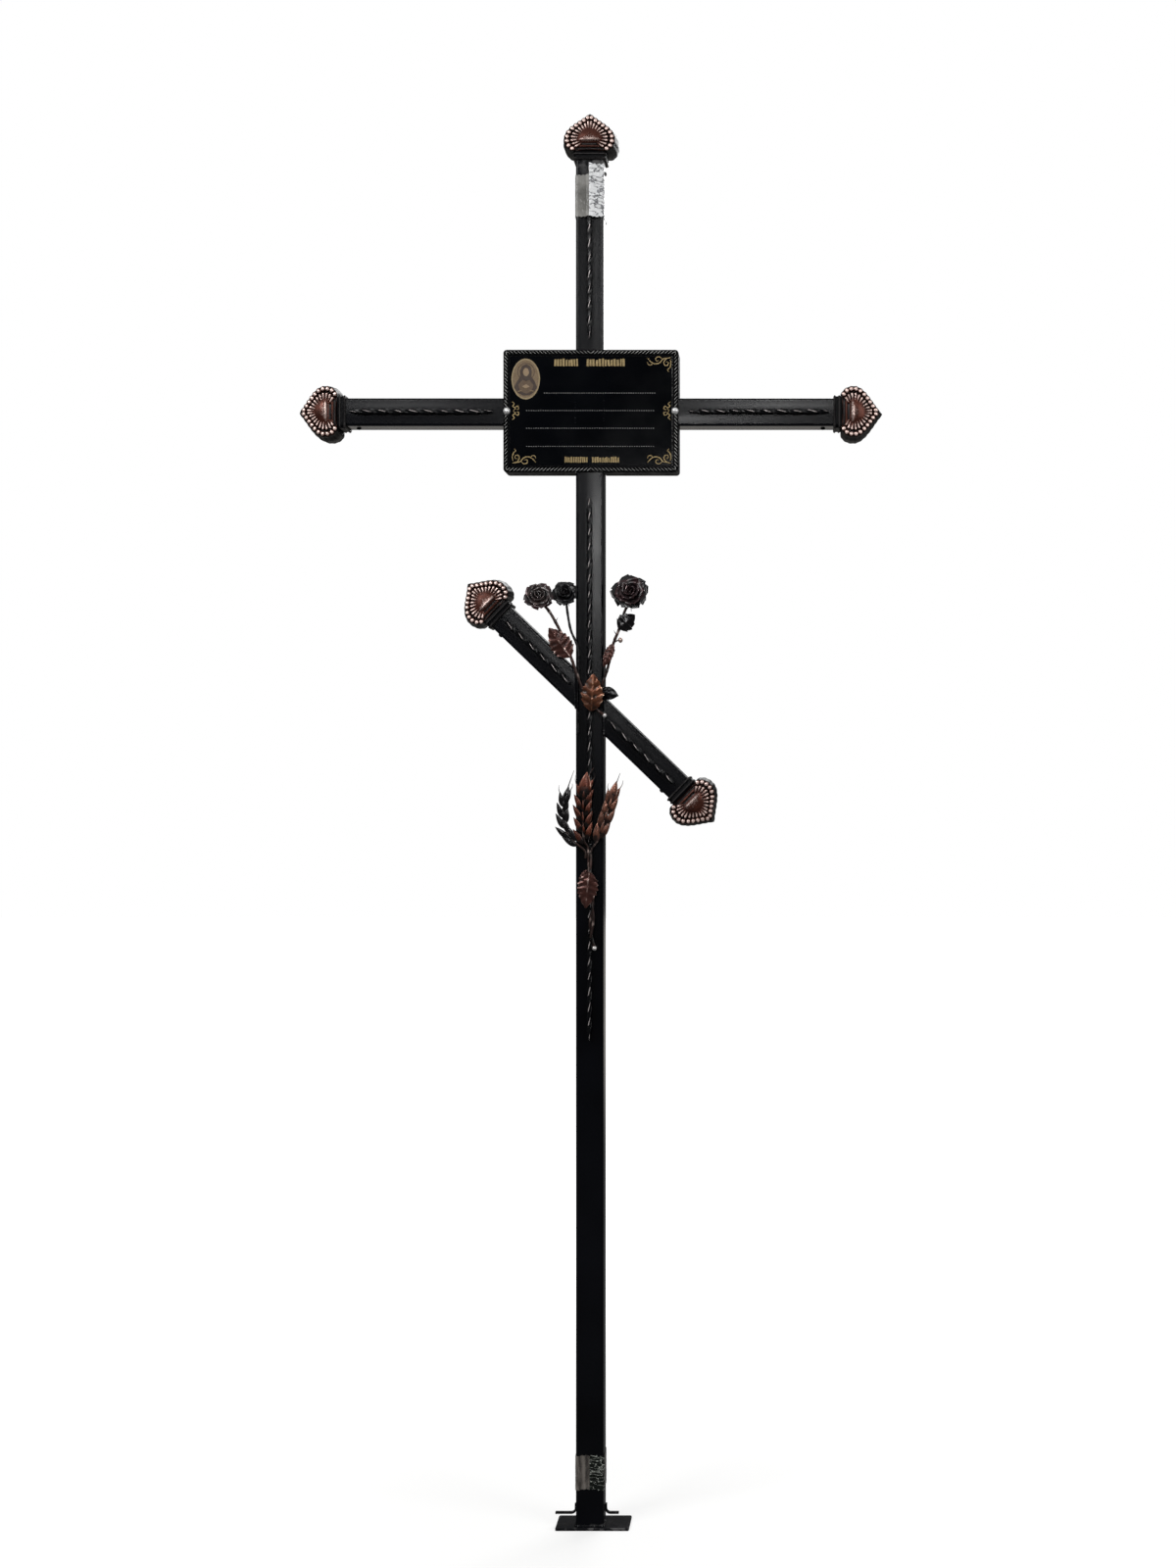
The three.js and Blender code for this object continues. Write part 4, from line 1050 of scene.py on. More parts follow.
@dataclass
class SpadeCaps(Assembly):
    """Cast spade caps: beads round the rim, gadroons within them, a ridged boss and a ribbed collar."""

    arms: Sequence[Arm] = ()
    width: float = 77.0
    widest_at: float = 29.0
    shoulder_at: float = 11.0
    shoulder: float = 50.0
    body_depth: float = 46.0
    tip_depth: float = 22.0
    beads: int = 10
    bead_radius: float = 3.9
    bead_height: float = 3.5
    gadroon_height: float = 3.2
    rim_inset: float = 2.4
    boss_half: float = 19.0
    side_steps: int = 112
    base_steps: int = 24
    rings: int = 50
    collar: float = 22.9
    rib: float = 1.2

    def build(self) -> None:
        """Makes one cap for each arm."""
        for arm in self.arms:
            skin = Skin()
            base = arm.reach - CAP_LENGTH
            shift = np.array([0, 0, base])
            front, relief, sides, back = self._body()
            skin.grid(arm.world(front + shift), relief=relief)
            skin.grid(arm.world(sides + shift), mark=1)
            skin.grid(arm.world(back + shift), mark=1)
            skin.grid(arm.world(self._collar() + shift), mark=1)
            self.keep(
                skin, f"cap_{arm.word}_cast", Slot.COPPER, [CAST_COPPER, CAST_BLACK], f"cap_{arm.word}",
                proud=0.55, crease=50,
            )

    def _half_outline(self) -> np.ndarray:
        """Draws the spade from its tip to its right shoulder.

        Returns:
            Points in equal steps, as x and z.
        """
        half, widest, low = self.width / 2, self.widest_at, self.shoulder_at
        parts = (
            ((0, CAP_LENGTH), (half * 0.4, CAP_LENGTH - 14), (half, widest + 18), (half, widest)),
            ((half, widest), (half, widest - 10), (half * 0.85, low), (self.shoulder / 2, low)),
        )
        t = np.linspace(0, 1, 80)[:, None]
        line = []
        for a, b, c, d in (tuple(map(np.array, part)) for part in parts):
            line.append((1 - t) ** 3 * a + 3 * (1 - t) ** 2 * t * b + 3 * (1 - t) * t * t * c + t**3 * d)
        return equal_steps(np.vstack(line), self.side_steps)

    def _depth(self, z: np.ndarray) -> np.ndarray:
        """Half of the casting's depth at each height above the collar's edge."""
        share = np.clip((CAP_LENGTH - z) / (CAP_LENGTH - self.widest_at), 0, 1)
        return (self.tip_depth + (self.body_depth - self.tip_depth) * np.sqrt(share)) / 2

    def _body(self) -> tuple[np.ndarray, np.ndarray, np.ndarray, np.ndarray]:
        """Makes the carved front, the plain sides and the back.

        Returns:
            The front as a grid of points, its relief, and the grids of the sides and the back.
        """
        right = self._half_outline()
        base = np.linspace(right[-1], right[-1] * (-1, 1), self.base_steps + 1)[1:-1]
        left = right[:0:-1] * (-1, 1)
        centre = np.array([0, self.widest_at + 1])
        widest = np.vstack([right, base, left])
        outward = unit(widest - centre)
        outline = widest - self.rim_inset * outward
        right = outline[: len(right)]
        share = np.linspace(0, 1, self.rings) ** 0.92 * 0.995
        flat = outline[None] + share[:, None, None] * (centre - outline)[None]
        bead, gadroon, push = self._bead_rows(right, centre, flat)
        flat = flat + outward[None] * push[..., None]
        x, z = flat[..., 0], flat[..., 1]
        ground = -0.8 - 1.2 * smooth(share, 0.2, 0.5)[:, None] + 0 * x
        ground = ground * smooth(share, 0.0, 0.06)[:, None]
        boss, boss_relief = self._boss(x, z)
        layers = np.stack([ground, bead, gadroon, boss])
        height = layers.max(axis=0)
        domes = [
            np.clip(layer / top, 0, 1)
            for layer, top in ((bead, self.bead_height), (gadroon, self.gadroon_height))
        ]
        # Pale bead and gadroon tops: partly brushed copper, partly a painted highlight.
        crest_and_highlight_tones = np.stack(
            [0.05 + 0 * x, 0.02 + 1.05 * domes[0] ** 1.9, 0.02 + 0.9 * domes[1] ** 2.2, boss_relief]
        )
        relief = np.choose(layers.argmax(axis=0), crest_and_highlight_tones)
        front = np.stack([x, -self._depth(z) - height, z], axis=-1)
        rim = flat[0]
        levels = np.linspace(-1, 1, 11)
        swell = 0.9 * (1 - levels**2) + self.rim_inset * smooth(levels, -1, 0.2)
        wall = rim[None] + swell[:, None, None] * outward[None]
        rim_depth = self._depth(rim[:, 1])
        sides = np.stack([wall[..., 0], levels[:, None] * rim_depth[None], wall[..., 1]], axis=-1)
        inward = np.linspace(0, 1, 14)
        plain = wall[-1][None] + inward[:, None, None] * 0.995 * (centre - wall[-1])[None]
        dome = 0.6 * smooth(inward, 0, 0.2) + 1.6 * smooth(inward, 0.35, 1)
        back = np.stack([plain[..., 0], self._depth(plain[..., 1]) + dome[:, None], plain[..., 1]], axis=-1)
        return front, relief, sides, back

    def _bead_rows(
        self, right: np.ndarray, centre: np.ndarray, flat: np.ndarray
    ) -> tuple[np.ndarray, np.ndarray, np.ndarray]:
        """Raises the round beads of the rim and the long gadroons within them.

        Args:
            right: The right half of the outline.
            centre: The point that the rows run towards.
            flat: The grid of places on the front.

        Returns:
            The height of the beads, the height of the gadroons and the push of the rim.
        """
        x, z = flat[..., 0], flat[..., 1]
        beads = np.full(x.shape, -9.0)
        gadroons = np.full(x.shape, -9.0)
        push = np.zeros(x.shape)
        for k in range(self.beads):
            place = right[round((k + 0.55) / (self.beads + 0.1) * self.side_steps)]
            for side in (1, -1):
                on = place * (side, 1)
                ray = centre - on
                at = on + 0.105 * ray
                away = np.hypot(x - at[0], z - at[1])
                dome = np.sqrt(np.clip(1 - (away / self.bead_radius) ** 2, 0, 1))
                beads = np.maximum(beads, np.where(away < self.bead_radius, self.bead_height * dome, -9))
                push = np.maximum(push, 0.8 * np.exp(-((np.hypot(x - on[0], z - on[1]) / 3.2) ** 2)))
                length = np.linalg.norm(ray)
                step = ray / length
                along = (x - on[0]) * step[0] + (z - on[1]) * step[1]
                across = (x - on[0]) * -step[1] + (z - on[1]) * step[0]
                share = np.clip((along / length - 0.30) / 0.24, 0, 1)
                beyond = along / length - 0.30 - 0.24 * share
                reach = np.hypot(across, beyond * length)
                radius = 2.7 - 0.8 * share
                dome = np.sqrt(np.clip(1 - (reach / radius) ** 2, 0, 1))
                crest = self.gadroon_height * dome * (1 - 0.15 * share)
                gadroons = np.maximum(gadroons, np.where(reach < radius, crest, -9))
        return beads, gadroons, push

    def _boss(self, x: np.ndarray, z: np.ndarray) -> tuple[np.ndarray, np.ndarray]:
        """Raises the smooth boss with its ridge across and the mouldings below it.

        Args:
            x: Places across the cap.
            z: Places along it.

        Returns:
            The height and the relief at each place; the relief paints a highlight along the ridge.
        """
        half = self.boss_half * np.sqrt(np.clip(1 - ((z - 22) / 29.5) ** 2, 0.0001, 1))
        half = np.where(z < 22, self.boss_half + (22 - z) * 0.35, half)
        across = np.sqrt(np.clip(1 - (x / half) ** 2, 0, 1))
        # The tones peak across the boss's ridge as a broad painted highlight over the brushed copper.
        stations = [10, 11.5, 13, 14.6, 16, 17.6, 19.2, 20.8, 22.5, 24.8, 27.2, 28.2, 31, 36, 42, 47, 51.5]
        heights = [-2, 0.2, 1.6, 0.1, 0.2, 2.4, 2.8, 1.0, 1.1, 2.8, 6.4, 6.2, 5.4, 5.2, 3.8, 1.6, -2]
        crest_and_highlight_tones = [
            0.1, 0.2, 0.5, 0.1, 0.1, 0.45, 0.5, 0.15, 0.15, 0.60, 0.84, 0.80, 0.66, 0.56, 0.50, 0.42, 0.1
        ]
        profile = np.interp(z, stations, heights)
        relief = np.interp(z, stations, crest_and_highlight_tones) * (0.4 + 0.6 * across)
        return np.where(np.abs(x) < half, -2 + (profile + 2) * across**0.8, -9), relief

    def _collar(self) -> np.ndarray:
        """Makes the ribbed collar round the tube's end.

        Returns:
            A grid of points, from the socket's floor round the edge to the body.
        """
        wall, rib = self.collar, self.collar + self.rib
        inner = TUBE / 2 + GAP
        profile = [
            (8.3, 0.5), (8.3, inner), (0.4, inner), (0, inner + 0.4), (0, wall - 0.3), (0.4, wall),
            (0.9, rib - 0.2),
            (1.4, rib), (2.3, rib), (2.8, rib - 0.2), (3.4, wall), (6.2, wall), (6.8, wall + 0.3), (7.5, rib),
            (8.9, rib), (9.6, wall + 0.3), (10.4, wall), (11.5, wall - 0.6), (15, wall - 1.5),
        ]
        rows = []
        for z, half in profile:
            ring = rounded_square(half, min(5.0, half * 0.5), 5)
            rows.append(np.column_stack([ring, np.full(len(ring), z)]))
        return np.array(rows)


@dataclass
class SmallScrews(Assembly):
    """The black set screws beside the caps and the bright domed screws of the plate."""

    arms: Sequence[Arm] = ()
    head: float = 7.0
    rise: float = 2.6
    from_collar: float = 15.0
    plate_head: float = 10.0
    plate_rise: float = 4.0

    def build(self) -> None:
        """Makes each screw as a turned head."""
        for arm in self.arms:
            at = arm.reach - CAP_LENGTH - self.from_collar
            skin = Skin()
            turned = self._turned(self.head, self.rise, 3.4)
            out = np.stack([turned[..., 2] * arm.screw_side, turned[..., 1], turned[..., 0]], axis=-1)
            skin.loft(arm.world(out + (arm.screw_side * (TUBE / 2 + GAP), 0, at)))
            name = f"cap_screw_{arm.word}"
            self.keep(skin, f"{name}_turned", Slot.BLACK, [WELD], name, passes=3)
        for word in ("left", "right"):
            low, high = solid(f"plate_screw_{word}")
            turned = self._turned(self.plate_head, self.plate_rise, 4.0)
            out = np.stack([turned[..., 0], -turned[..., 2], turned[..., 1]], axis=-1)
            middle = (low + high) / 2
            skin = Skin()
            skin.loft(out + (middle[0], low[1] + self.plate_rise, middle[2]))
            self.keep(
                skin, f"plate_screw_{word}_domed", Slot.STEEL, [STEEL], f"plate_screw_{word}", passes=3,
                crease=30
            )

    @staticmethod
    def _turned(head: float, rise: float, shank: float) -> np.ndarray:
        """Turns a domed head on its shank.

        Args:
            head: The head's diameter.
            rise: The head's height.
            shank: The shank's diameter.

        Returns:
            Rings of points round +Z, from the shank's end to the top.
        """
        half = head / 2
        profile = [(shank * 0.4, -3.0), (shank / 2, -2.6), (shank / 2, 0), (half, 0), (half, 0.5)]
        for step in range(1, 9):
            turn = math.pi / 2 * step / 8.4
            profile.append((half * 0.96 * math.cos(turn), 0.5 + (rise - 0.5) * math.sin(turn)))
        return lathe(profile, 32)


@dataclass
class TwistedBars(Assembly):
    """Square bars, twisted cold and drawn to a point at both ends."""

    arms: Sequence[Arm] = ()
    side: float = BAR_SIDE
    pitch: float = 88.0
    point: float = 15.0

    def build(self) -> None:
        """Makes the bar of each arm and the long one down the post."""
        axis = FRONT - GAP - self.side / math.sqrt(2)
        made = []
        for arm in self.arms:
            loops, relief = self._bar(arm.bar_from, arm.bar_to)
            made.append((f"bar_{arm.word}", arm.world(loops + (0, axis, 0)), relief))
        low, high = solid("bar_post")
        loops, relief = self._bar(low[2], high[2])
        made.append(("bar_post", loops + (0, axis, 0), relief))
        for name, loops, relief in made:
            skin = Skin()
            skin.loft(loops, relief=relief)
            self.keep(skin, f"{name}_forged", Slot.BARS, [TWISTED_IRON_PAINTED_GLINT], name, passes=3, crease=60)

    def _bar(self, start: float, end: float) -> tuple[np.ndarray, np.ndarray]:
        """Twists a bar along +Z.

        Args:
            start: Where it starts.
            end: Where it ends.

        Returns:
            Loops of points, and the relief, which paints a glint on whichever corner faces the front.
        """
        half = self.side / 2
        ring = []
        for quarter in range(4):
            turn = quarter * math.pi / 2
            cos, sin = math.cos(turn), math.sin(turn)
            for x, y in (
                (half - 0.35, 0.0), (half - 0.12, half - 1.1), (half, half - 0.45), (half - 0.45, half),
                (half - 1.1, half - 0.12)
            ):
                ring.append((x * cos - y * sin, x * sin + y * cos))
        section = np.array(ring)
        count = round((end - start) / 2)
        z = np.linspace(start, end, count + 1)
        middle = (start + end) / 2
        near = np.minimum(z - start, end - z)
        size = 0.14 + 0.86 * np.clip(near / self.point, 0, 1) ** 0.7
        turn = 2 * np.pi * (z - middle) / self.pitch
        wobble = 0.12 * np.sin(z * 0.11) + 0.08 * np.sin(z * 0.37)
        cos, sin = np.cos(turn)[:, None], np.sin(turn)[:, None]
        x = size[:, None] * (section[:, 0] * cos - section[:, 1] * sin) + wobble[:, None]
        y = size[:, None] * (section[:, 0] * sin + section[:, 1] * cos)
        loops = np.stack([x, y, np.broadcast_to(z[:, None], x.shape)], axis=-1)
        # Painted glint: the corner facing the front is raised to the pale crest, wherever the twist turns it.
        relief = 0.15 + 0.9 * smooth(-y / (size[:, None] * half * math.sqrt(2)), 0.74, 0.93)
        return loops, relief


@dataclass
class NamePlate(Assembly):
    """A pressed sheet tray with a rope border, an inner line and printed lines and ornaments.

    The print is laid out from the top left corner of a plate 254 wide and 176 high, rightwards and
    downwards, and then fitted to the solid's own size.
    """

    sheet: float = 1.2
    corner: float = 5.0
    rope: float = 7.5
    rope_rise: float = 2.4
    strand: float = 5.3
    slant: float = 4.6
    nominal: tuple[float, float] = (254.0, 176.0)
    dot_pitch: float = 3.4
    line_tops: tuple[float, ...] = (62.2, 87.4, 112.8, 138.9)
    picture: tuple[float, float] = (32.4, 42.0)

    def build(self) -> None:
        """Makes the plate as one piece."""
        low, high = solid("name_plate")
        self.left, self.right, self.bottom, self.top = low[0], high[0], low[2], high[2]
        self.face = FRONT - GAP - self.sheet
        self.back = high[1]
        skin = Skin()
        self._face(skin)
        self._rope(skin)
        self._inner_line(skin)
        self._sides(skin)
        inks = [GOLD_INK, GREY_INK, TAN_INK, RIM_INK, ROBE_INK, CLOAK_INK, SKIN_INK]
        self.keep(
            skin, "name_plate_pressed", Slot.BLACK, [PLATE_ENAMEL, ROPE_ENAMEL_PAINTED_HIGHLIGHT, *inks, FOLDED_ENAMEL],
            "name_plate", passes=5,
        )

    def _place(self, right: float, down: float) -> tuple[float, float]:
        """Fits a place of the layout to the plate and returns its x and z."""
        x = self.left + right / self.nominal[0] * (self.right - self.left)
        return x, self.top - down / self.nominal[1] * (self.top - self.bottom)

    def _edge(self, inset: float, corner: float) -> np.ndarray:
        """Draws the plate's outline at an inset, clockwise from the middle of its top edge.

        Args:
            inset: How far inside the edge.
            corner: The radius of its corners.

        Returns:
            The points, as x and z.
        """
        radius = max(corner, 0.4)
        cx, cz = (self.left + self.right) / 2, (self.top + self.bottom) / 2
        x, z = self.right - inset - cx, self.top - inset - cz
        points = [(0.0, z)]
        for sx, sz, start in ((1, 1, 90), (1, -1, 0), (-1, -1, -90), (-1, 1, -180)):
            for step in range(7):
                turn = math.radians(start - 15 * step)
                points.append(
                    (sx * (x - radius) + radius * math.cos(turn), sz * (z - radius) + radius * math.sin(turn))
                )
        points.append((0.0, z))
        return np.array(points) + (cx, cz)

    def _face(self, skin: Skin) -> None:
        """Makes the flat front with the print as faces of its own, and the back of the sheet.

        Args:
            skin: The plate's skin.
        """
        outline = self._edge(0, self.corner)[:-1]
        shapes: Print = [(Mark.ENAMEL, outline)]
        shapes += self._picture() + self._rows() + self._dots() + self._flourishes()
        points: list[Vector] = []
        loops: list[list[int]] = []
        for _, shape in shapes:
            x, z = shape[:, 0], shape[:, 1]
            clockwise = np.sum(x * np.roll(z, -1) - z * np.roll(x, -1)) < 0
            loops.append(list(range(len(points), len(points) + len(shape))))
            points += [Vector((float(a), float(b))) for a, b in (shape[::-1] if clockwise else shape)]
        places, _, faces, _, _, sources = delaunay_2d_cdt(points, [], loops, 1, 1e-4)
        flat = np.array([(p.x, self.face, p.y) for p in places])
        for mark in range(Mark.SIDES):
            chosen = [f for f, source in zip(faces, sources) if source and shapes[max(source)][0] == mark]
            if chosen:
                used = sorted({i for f in chosen for i in f})
                again = {old: new for new, old in enumerate(used)}
                skin.add(flat[used], [[again[i] for i in f] for f in chosen], mark, np.full(len(used), 0.5))
        rim = np.array([[(x, y, z) for x, z in outline] for y in (self.face, self.face + self.sheet)])
        skin.grid(rim)
        behind = np.array([(x, self.face + self.sheet, z) for x, z in outline])
        skin.add(behind, [tuple(range(len(behind)))])

    def _oval(
        self, mark: Mark, middle: tuple[float, float], half: tuple[float, float], count: int = 48
    ) -> tuple[int, np.ndarray]:
        """Draws an oval part of the picture.

        Args:
            mark: What it is printed in.
            middle: Its middle, from the middle of the picture.
            half: Its half axes.
            count: How many corners it has.

        Returns:
            The mark with the outline.
        """
        x, y = self.picture[0] + middle[0], self.picture[1] + middle[1]
        turn = turns(count)
        return mark, np.array(
            [self._place(x + half[0] * math.cos(t), y + half[1] * math.sin(t)) for t in turn]
        )

    def _patch(self, mark: Mark, *corners: tuple[float, float]) -> tuple[int, np.ndarray]:
        """Draws a part of the picture through its corners, measured from the middle of the picture."""
        return mark, self._shape([(self.picture[0] + x, self.picture[1] + y) for x, y in corners])

    def _shape(self, points: Sequence[tuple[float, float]]) -> np.ndarray:
        """Draws a shape of the layout through its corners."""
        return np.array([self._place(*p) for p in points])

    def _picture(self) -> Print:
        """Draws the oval picture: a plain robed figure with a round head and folded hands.

        Returns:
            Marks with their outlines, the lowest first.
        """
        drawn = [
            self._oval(Mark.RIM, (0, 0), (20.7, 29.3)), self._oval(Mark.TAN, (0, 0), (18.9, 27.3)),
            self._oval(Mark.ROBE, (0.5, -10.5), (12.6, 12.6), 36),
            self._oval(Mark.TAN, (0.5, -10.5), (11.6, 11.6), 36),
        ]
        drawn.append(self._patch(
            Mark.ROBE, (-17, 12), (-13, 4), (-8, -3), (-8.5, -12), (-5, -19), (1, -21.5), (7, -18.5),
            (9, -11), (8.5, -3), (13, 3), (16.5, 12), (13, 18), (6, 23.5), (-4, 24), (-12, 19.5),
        ))
        drawn.append(self._patch(
            Mark.CLOAK, (-11, 8), (-4, 1), (0.5, 3.5), (5, 1), (11.5, 9), (8, 18), (0.5, 21), (-8, 17),
        ))
        drawn.append(self._oval(Mark.SKIN, (0.5, -10), (4.3, 5.9), 28))
        drawn.append(self._patch(Mark.SKIN, (-5, 10.5), (0.5, 7.5), (6, 10.5), (2, 12.8), (-1.5, 12.8)))
        drawn.append(self._patch(Mark.TAN, (-12, 17.5), (-6, 15.5), (-5, 16.6), (-11, 18.8)))
        drawn.append(self._patch(Mark.TAN, (6.5, 15.5), (12, 16.8), (11.2, 18), (5.8, 16.8)))
        return drawn

    def _rows(self) -> Print:
        """Draws the two rows of short strokes.

        Returns:
            Marks with their outlines.
        """
        rng = random.Random(11)
        drawn = []
        for start, end, top, foot, width in (
            (73.6, 112.2, 12.4, 23.7, 3.1), (120.7, 180.3, 12.4, 23.7, 3.1),
            (88.7, 124.6, 153.6, 162.2, 2.4), (128.5, 170.9, 153.6, 162.2, 2.4),
        ):
            x = start
            while x < end - width:
                thick = width * rng.uniform(0.75, 1.15)
                rise = rng.uniform(0, (foot - top) * 0.22)
                lean = rng.uniform(-0.5, 0.5)
                drawn.append((Mark.GOLD, self._shape([
                    (x + lean, top + rise), (x + thick + lean, top + rise * 0.8), (x + thick, foot),
                    (x, foot - rise * 0.3),
                ])))
                x += thick + width * 0.42
        return drawn

    def _dots(self) -> Print:
        """Draws the four dotted lines.

        Returns:
            Marks with their outlines.
        """
        drawn = []
        for row, down in enumerate(self.line_tops):
            start = 58.7 if row == 0 else 33.0
            for k in range(int((222.8 - start) / self.dot_pitch)):
                x = start + k * self.dot_pitch
                top, foot, end = down - 0.5, down + 0.5, x + 1.9
                drawn.append((Mark.GREY, self._shape([(x, top), (end, top), (end, foot), (x, foot)])))
        return drawn

    def _ribbon(self, line: Sequence[tuple[float, float]], width: float) -> np.ndarray:
        """Draws a tapering ribbon along a curve.

        Args:
            line: Places of the layout that it passes.
            width: Its greatest width.

        Returns:
            Its outline.
        """
        path = curve_through(line, 18)
        way = tangents(path)
        side = np.stack([-way[:, 1], way[:, 0]], axis=1)
        half = width * 0.42 * (0.3 + 0.7 * np.sin(np.pi * np.linspace(0.05, 0.95, 19)))[:, None]
        return self._shape([tuple(p) for p in np.vstack([path + side * half, (path - side * half)[::-1]])])

    def _flourishes(self) -> Print:
        """Draws the scrolls in three corners and the two leaf sprays at the sides.

        Returns:
            Marks with their outlines.
        """
        drawn = []
        scrolls = (
            ([(0, 0), (-5, -1), (-10, -6), (-9, -11), (-4.5, -11), (-4, -7), (-7, -6.5)], 1.8),
            ([(-2, -1), (-11, -2), (-17, -8), (-24, -9), (-30, -5.5), (-34, -1)], 1.9),
            ([(-12, -3), (-17, 1), (-22, -1), (-21, -5), (-17.5, -4.5)], 1.6),
            ([(-1, -3), (0, -9), (-2, -15), (-5, -18), (-2.6, -21)], 1.7),
            ([(-26, -7.5), (-29, -11), (-33, -10), (-34, -6.5)], 1.4),
        )
        for corner in Corner:
            sx, sy = corner.value
            at = (243 if sx > 0 else 13, 163 if sy > 0 else 11)
            for line, width in scrolls:
                drawn.append(
                    (Mark.GOLD, self._ribbon([(at[0] + sx * x, at[1] + sy * y) for x, y in line], width))
                )
        for x, side in ((12.5, 1), (242.5, -1)):
            for line, width in (
                ([(0, -13), (3.5, -10), (1, -6.5), (4.8, -3.5), (2, 0)], 1.8),
                ([(0, 13), (3.5, 10), (1, 6.5), (4.8, 3.5), (2, 0.6)], 1.8),
                ([(3.2, -4), (8.5, -6.5), (9.8, -2.5), (6, -1.6)], 1.6),
                ([(3.2, 4), (8.5, 6.5), (9.8, 2.5), (6, 1.6)], 1.6),
            ):
                drawn.append((Mark.GOLD, self._ribbon([(x + side * a, 87.6 + b) for a, b in line], width)))
        return drawn

    def _rope(self, skin: Skin) -> None:
        """Makes the rope border, whose strands slant away from the middle of each side.

        Args:
            skin: The plate's skin.
        """
        middle = self._edge(self.rope / 2, self.rope / 2 + 0.05)
        steps = 1500
        path = equal_steps(middle, steps)[:-1]
        way = tangents(np.vstack([path[-1:], path, path[:1]]))[1:-1]
        outward = np.stack([-way[:, 1], way[:, 0]], axis=1)
        cx, cz = (self.left + self.right) / 2, (self.top + self.bottom) / 2
        on_side = np.abs(way[:, 1]) > np.abs(way[:, 0])
        run = np.where(on_side, np.abs(path[:, 1] - cz), np.abs(path[:, 0] - cx))
        across = np.linspace(-1, 1, 13)
        phase = (run[None] - self.slant * across[:, None]) / self.strand
        strand = 0.5 - 0.5 * np.cos(2 * np.pi * phase)
        seat = np.ones(len(path))
        for word in ("left", "right"):
            low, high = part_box(f"plate_screw_{word}")
            at = np.array([(low.x + high.x) / 2, (low.z + high.z) / 2]) / MM
            seat *= smooth(np.linalg.norm(path - at, axis=1), 5.0, 6.6)
        arch = np.sqrt(1 - across**2)[:, None]
        height = self.rope_rise * arch * (0.12 + 0.88 * strand**0.7) * seat[None]
        place = path[None] + across[:, None, None] * self.rope / 2 * outward[None]
        grid = np.stack([place[..., 0], self.face - 0.02 - height, place[..., 1]], axis=-1)
        # The relief puts painted highlights on the strands' tops.
        skin.grid(grid, mark=Mark.ROPE, relief=np.clip(1.05 * arch * strand**1.6, 0, 1))

    def _inner_line(self, skin: Skin) -> None:
        """Makes the thin pressed line inside the rope, with a painted highlight down its right side.

        Args:
            skin: The plate's skin.
        """
        rows = []
        for inset, rise in ((8.5, 0), (8.7, 0.4), (9.0, 0.5), (9.3, 0.4), (9.5, 0)):
            ring = equal_steps(self._edge(inset, 1.0), 160)[:-1]
            rows.append([(x, self.face - 0.02 - rise, z) for x, z in ring])
        # Painted highlight: only the line's right side takes the pale crest.
        painted_lit = smooth(np.array(rows)[..., 0], self.right - 14, self.right - 9)
        relief = np.array([[0.2], [0.8], [1.0], [0.8], [0.2]]) * (0.15 + 0.68 * painted_lit)
        skin.grid(np.array(rows), mark=Mark.ROPE, relief=relief)

    def _sides(self, skin: Skin) -> None:
        """Makes the folded sides, which stop beside the four tubes.

        Args:
            skin: The plate's skin.
        """
        low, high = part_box("arm_tube_left")
        arm = (low.z + high.z) / 2 / MM
        clear = TUBE / 2 + 1
        inset = self.sheet / 2
        radius = self.corner - inset
        for sx in (1, -1):
            for sz in (1, -1):
                x = (self.right if sx > 0 else self.left) - sx * inset
                z = (self.top if sz > 0 else self.bottom) - sz * inset
                cx, cz = x - sx * radius, z - sz * radius
                line = [(sx * clear, z)]
                for step in range(7):
                    turn = math.radians(90 - 15 * step)
                    line.append((cx + sx * radius * math.cos(turn), cz + sz * radius * math.sin(turn)))
                line.append((x, arm + sz * clear))
                path = np.array(line)
                way = tangents(path)
                out = np.stack([way[:, 1], -way[:, 0]], axis=1) * -sx * sz
                loops = []
                for off, y in (
                    (inset, self.face + 0.1), (inset, self.back - 0.4), (inset - 0.4, self.back),
                    (0.4 - inset, self.back), (-inset, self.back - 0.4), (-inset, self.face + 0.1)
                ):
                    edge = path + out * off
                    loops.append([(a, y, b) for a, b in edge])
                skin.loft(np.array(loops).transpose(1, 0, 2), Mark.SIDES)


@dataclass(frozen=True)
class RoseShape:
    """One rose: where its calyx stands, its size, how it is turned and its finishes, dark and warm."""

    name: str
    base: np.ndarray
    radius: float
    turn: float
    dark: Finish
    warm: Finish
    warm_whorls: int
    slot: Slot = Slot.COPPER


@dataclass(frozen=True)
class Whorl:
    """A ring of petals, in shares of the rose's radius, with leans from the axis in degrees."""

    count: int
    start: tuple[float, float]
    length: float
    width: float
    lean: tuple[float, float]
    turned: float
    curl: float


@dataclass(frozen=True)
class LeafShape:
    """One leaf: its stalk and tip, its greatest width, its teeth and how it is folded and bowed."""

    name: str
    stalk: tuple[float, float, float]
    tip: tuple[float, float, float]
    width: float
    teeth: int
    finish: Finish
    fold: float = -2.5
    bow: float = 2.0
    slot: Slot = Slot.COPPER


